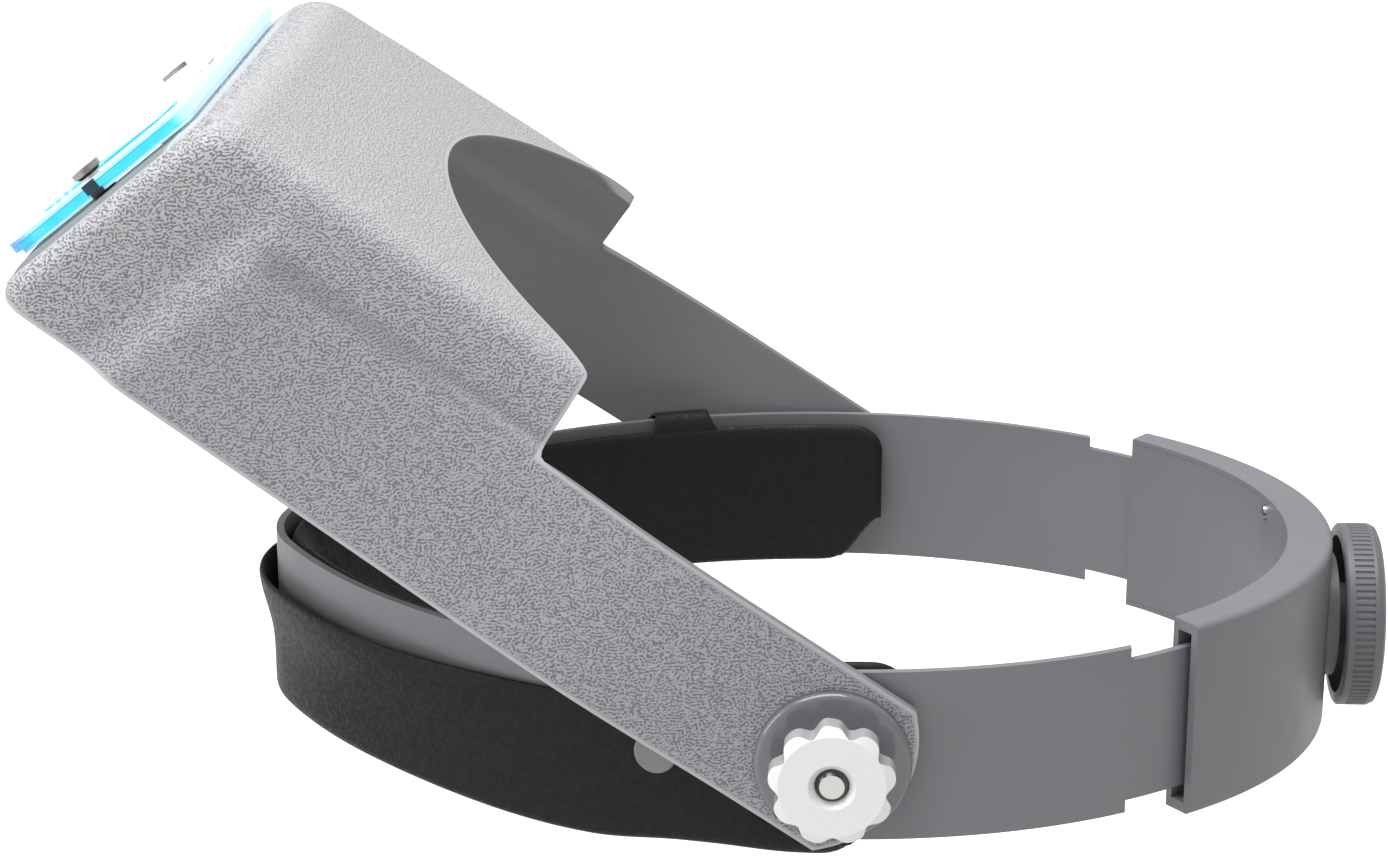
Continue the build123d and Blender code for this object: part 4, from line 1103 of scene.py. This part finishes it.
def make_shell():
    """Hood and arms in one skin: rows along both sides and the roof, then a front face round its window."""
    vertices = []

    def keep(point):
        vertices.append(tilted(point))
        return len(vertices) - 1

    rows = []
    for row in range(TOP_ROW + 1):
        rows.append({k: keep(p) for k, p in row_points(row).items()})
    for row in range(TOP_ROW - 1, -1, -1):
        rows.append({k: keep(mirrored(p)) for k, p in row_points(row).items()})
    loop = [row[ARM_COLUMNS + HOOD_COLUMNS + ROUND_STEPS] for row in rows]
    start = rounded_front(0)[-1]
    end = mirrored(start)
    for k in range(1, FOOT_COLUMNS):
        loop.append(keep(end.lerp(start, k / FOOT_COLUMNS)))
    outer = [tilted(vertices[i]) for i in loop]
    inner = [window_point(point) for point in outer]
    rings = [loop]
    for ring in range(1, PANEL_RINGS + 1):
        points = [a.lerp(b, ring / PANEL_RINGS) for a, b in zip(outer, inner)]
        rings.append([keep(Vector((p.x, front_at(p.z), p.z))) for p in points])
    piece = smooth_piece("visor_shell_skin", vertices, skin_faces(rows) + ring_faces(rings))
    roof = max(piece.data.polygons, key=lambda face: face.center.z)
    if roof.normal.z < 0:
        piece.data.flip_normals()
    add_wall(piece)
    return piece


# ---------- stage ----------

def add_camera():
    """The camera looks along its yaw and pitch, towards -X."""
    data = bpy.data.cameras.new("camera")
    camera = bpy.data.objects.new("camera", data)
    bpy.context.scene.collection.objects.link(camera)
    level = math.cos(CAMERA_PITCH)
    look = Vector((-math.cos(CAMERA_YAW) * level, -math.sin(CAMERA_YAW) * level, -math.sin(CAMERA_PITCH)))
    right = look.cross(Vector((0, 0, 1))).normalized()
    turn = Matrix((right, right.cross(look), -look)).transposed().to_4x4()
    camera.matrix_world = Matrix.Translation(CAMERA_PLACE) @ turn
    data.lens = CAMERA_LENS_MM
    data.sensor_fit = "HORIZONTAL"
    data.clip_start = 0.05
    bpy.context.scene.camera = camera


def add_softbox(name, place_at, target, side, watts):
    """Square light that faces its target."""
    data = bpy.data.lights.new(name, "AREA")
    data.shape = "SQUARE"
    data.size = side
    data.energy = watts
    light = bpy.data.objects.new(name, data)
    bpy.context.scene.collection.objects.link(light)
    light.location = place_at
    light.rotation_euler = (Vector(target) - Vector(place_at)).to_track_quat("-Z", "Y").to_euler()


def add_world():
    """Pale surroundings that look white, but light the object only softly."""
    world = bpy.data.worlds.new("studio")
    bpy.context.scene.world = world
    world.use_nodes = True
    tree = world.node_tree
    rays = put(tree, "ShaderNodeLightPath").outputs
    seen = math_node(tree, "MAXIMUM", rays["Is Camera Ray"], rays["Is Transmission Ray"])
    background = tree.nodes["Background"]
    background.inputs["Color"].default_value = (1, 1, 1, 1)
    tree.links.new(ramp(tree, seen, 0.0, 1.0, WORLD_LIGHT, 1.0), background.inputs["Strength"])


def add_stage():
    """Softboxes, and a floor that lies low enough for the visor to swing down over it."""
    add_world()
    bpy.context.scene.view_settings.view_transform = "Standard"
    add_softbox("overhead", place_at=(0.1, -0.35, 1.5), target=(0, -0.02, 0), side=1.4, watts=33)
    add_softbox("front_fill", place_at=(0.5, -1.5, 0.5), target=(0, -0.03, 0.03), side=0.8, watts=7.5)
    floor_z = cad_box[0].z - FLOOR_DROP
    mesh = bpy.data.meshes.new("floor")
    corners = [(-1, -1), (1, -1), (1, 1), (-1, 1)]
    mesh.from_pydata([(x * FLOOR_HALF, y * FLOOR_HALF, floor_z) for x, y in corners], [], [(0, 1, 2, 3)])
    floor = bpy.data.objects.new("floor", mesh)
    bpy.context.scene.collection.objects.link(floor)
    mesh.materials.append(floor_material())


# ---------- assembly ----------

FINISHES = {
    "shell_grey": shell_plastic(),
    "plate_blue": blue_acrylic(),
    "lens_clear": lens_glass(),
    "black_steel": black_oxide(),
    "bright_steel": metal("plated_steel", (0.72, 0.70, 0.67), 0.25),
    "strap_grey": satin_plastic("strap_plastic", (0.212, 0.217, 0.229), 0.38),
    "housing_grey": satin_plastic("housing_plastic", (0.20, 0.205, 0.216), 0.36),
    "knob_grey": satin_plastic("adjust_knob_plastic", (0.15, 0.155, 0.165), 0.34),
    "black_leather": leather(),
    "stud_grey": satin_plastic("stud_paint", (0.22, 0.225, 0.235), 0.3, 0.03, 0.4),
    "black_rubber": rubber(),
    "disc_grey": satin_plastic("disc_plastic", (0.17, 0.174, 0.185), 0.12, 0.03, 0.9),
    "knob_white": white_plastic(),
    "nylon_white": satin_plastic("nylon_plastic", (0.8, 0.8, 0.77), 0.45, 0.02),
}


def dress_nodes():
    """Gives each CAD node the finish of its material slot, and the steel parts that need it their own."""
    for node in nodes.values():
        for slot in node.material_slots:
            slot.material = FINISHES[slot.material.name.split(".")[0]]
    nodes["lens_screws"].material_slots[0].material = lens_screw_steel()
    bolt_finish = bolt_steel()
    for side in ("left", "right"):
        nodes[side + "_pivot_bolt"].material_slots[0].material = bolt_finish


dress_nodes()
band = make_sweatband()
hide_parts("sweatband")
for soft in (band, make_tab("left_band_tab", 1), make_tab("right_band_tab", -1)):
    soft.data.materials.append(FINISHES["black_leather"])
    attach(soft, "headband")
shell = make_shell()
shell.data.materials.append(FINISHES["shell_grey"])
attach(shell, "visor")
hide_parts("visor_shell")
add_camera()
add_stage()
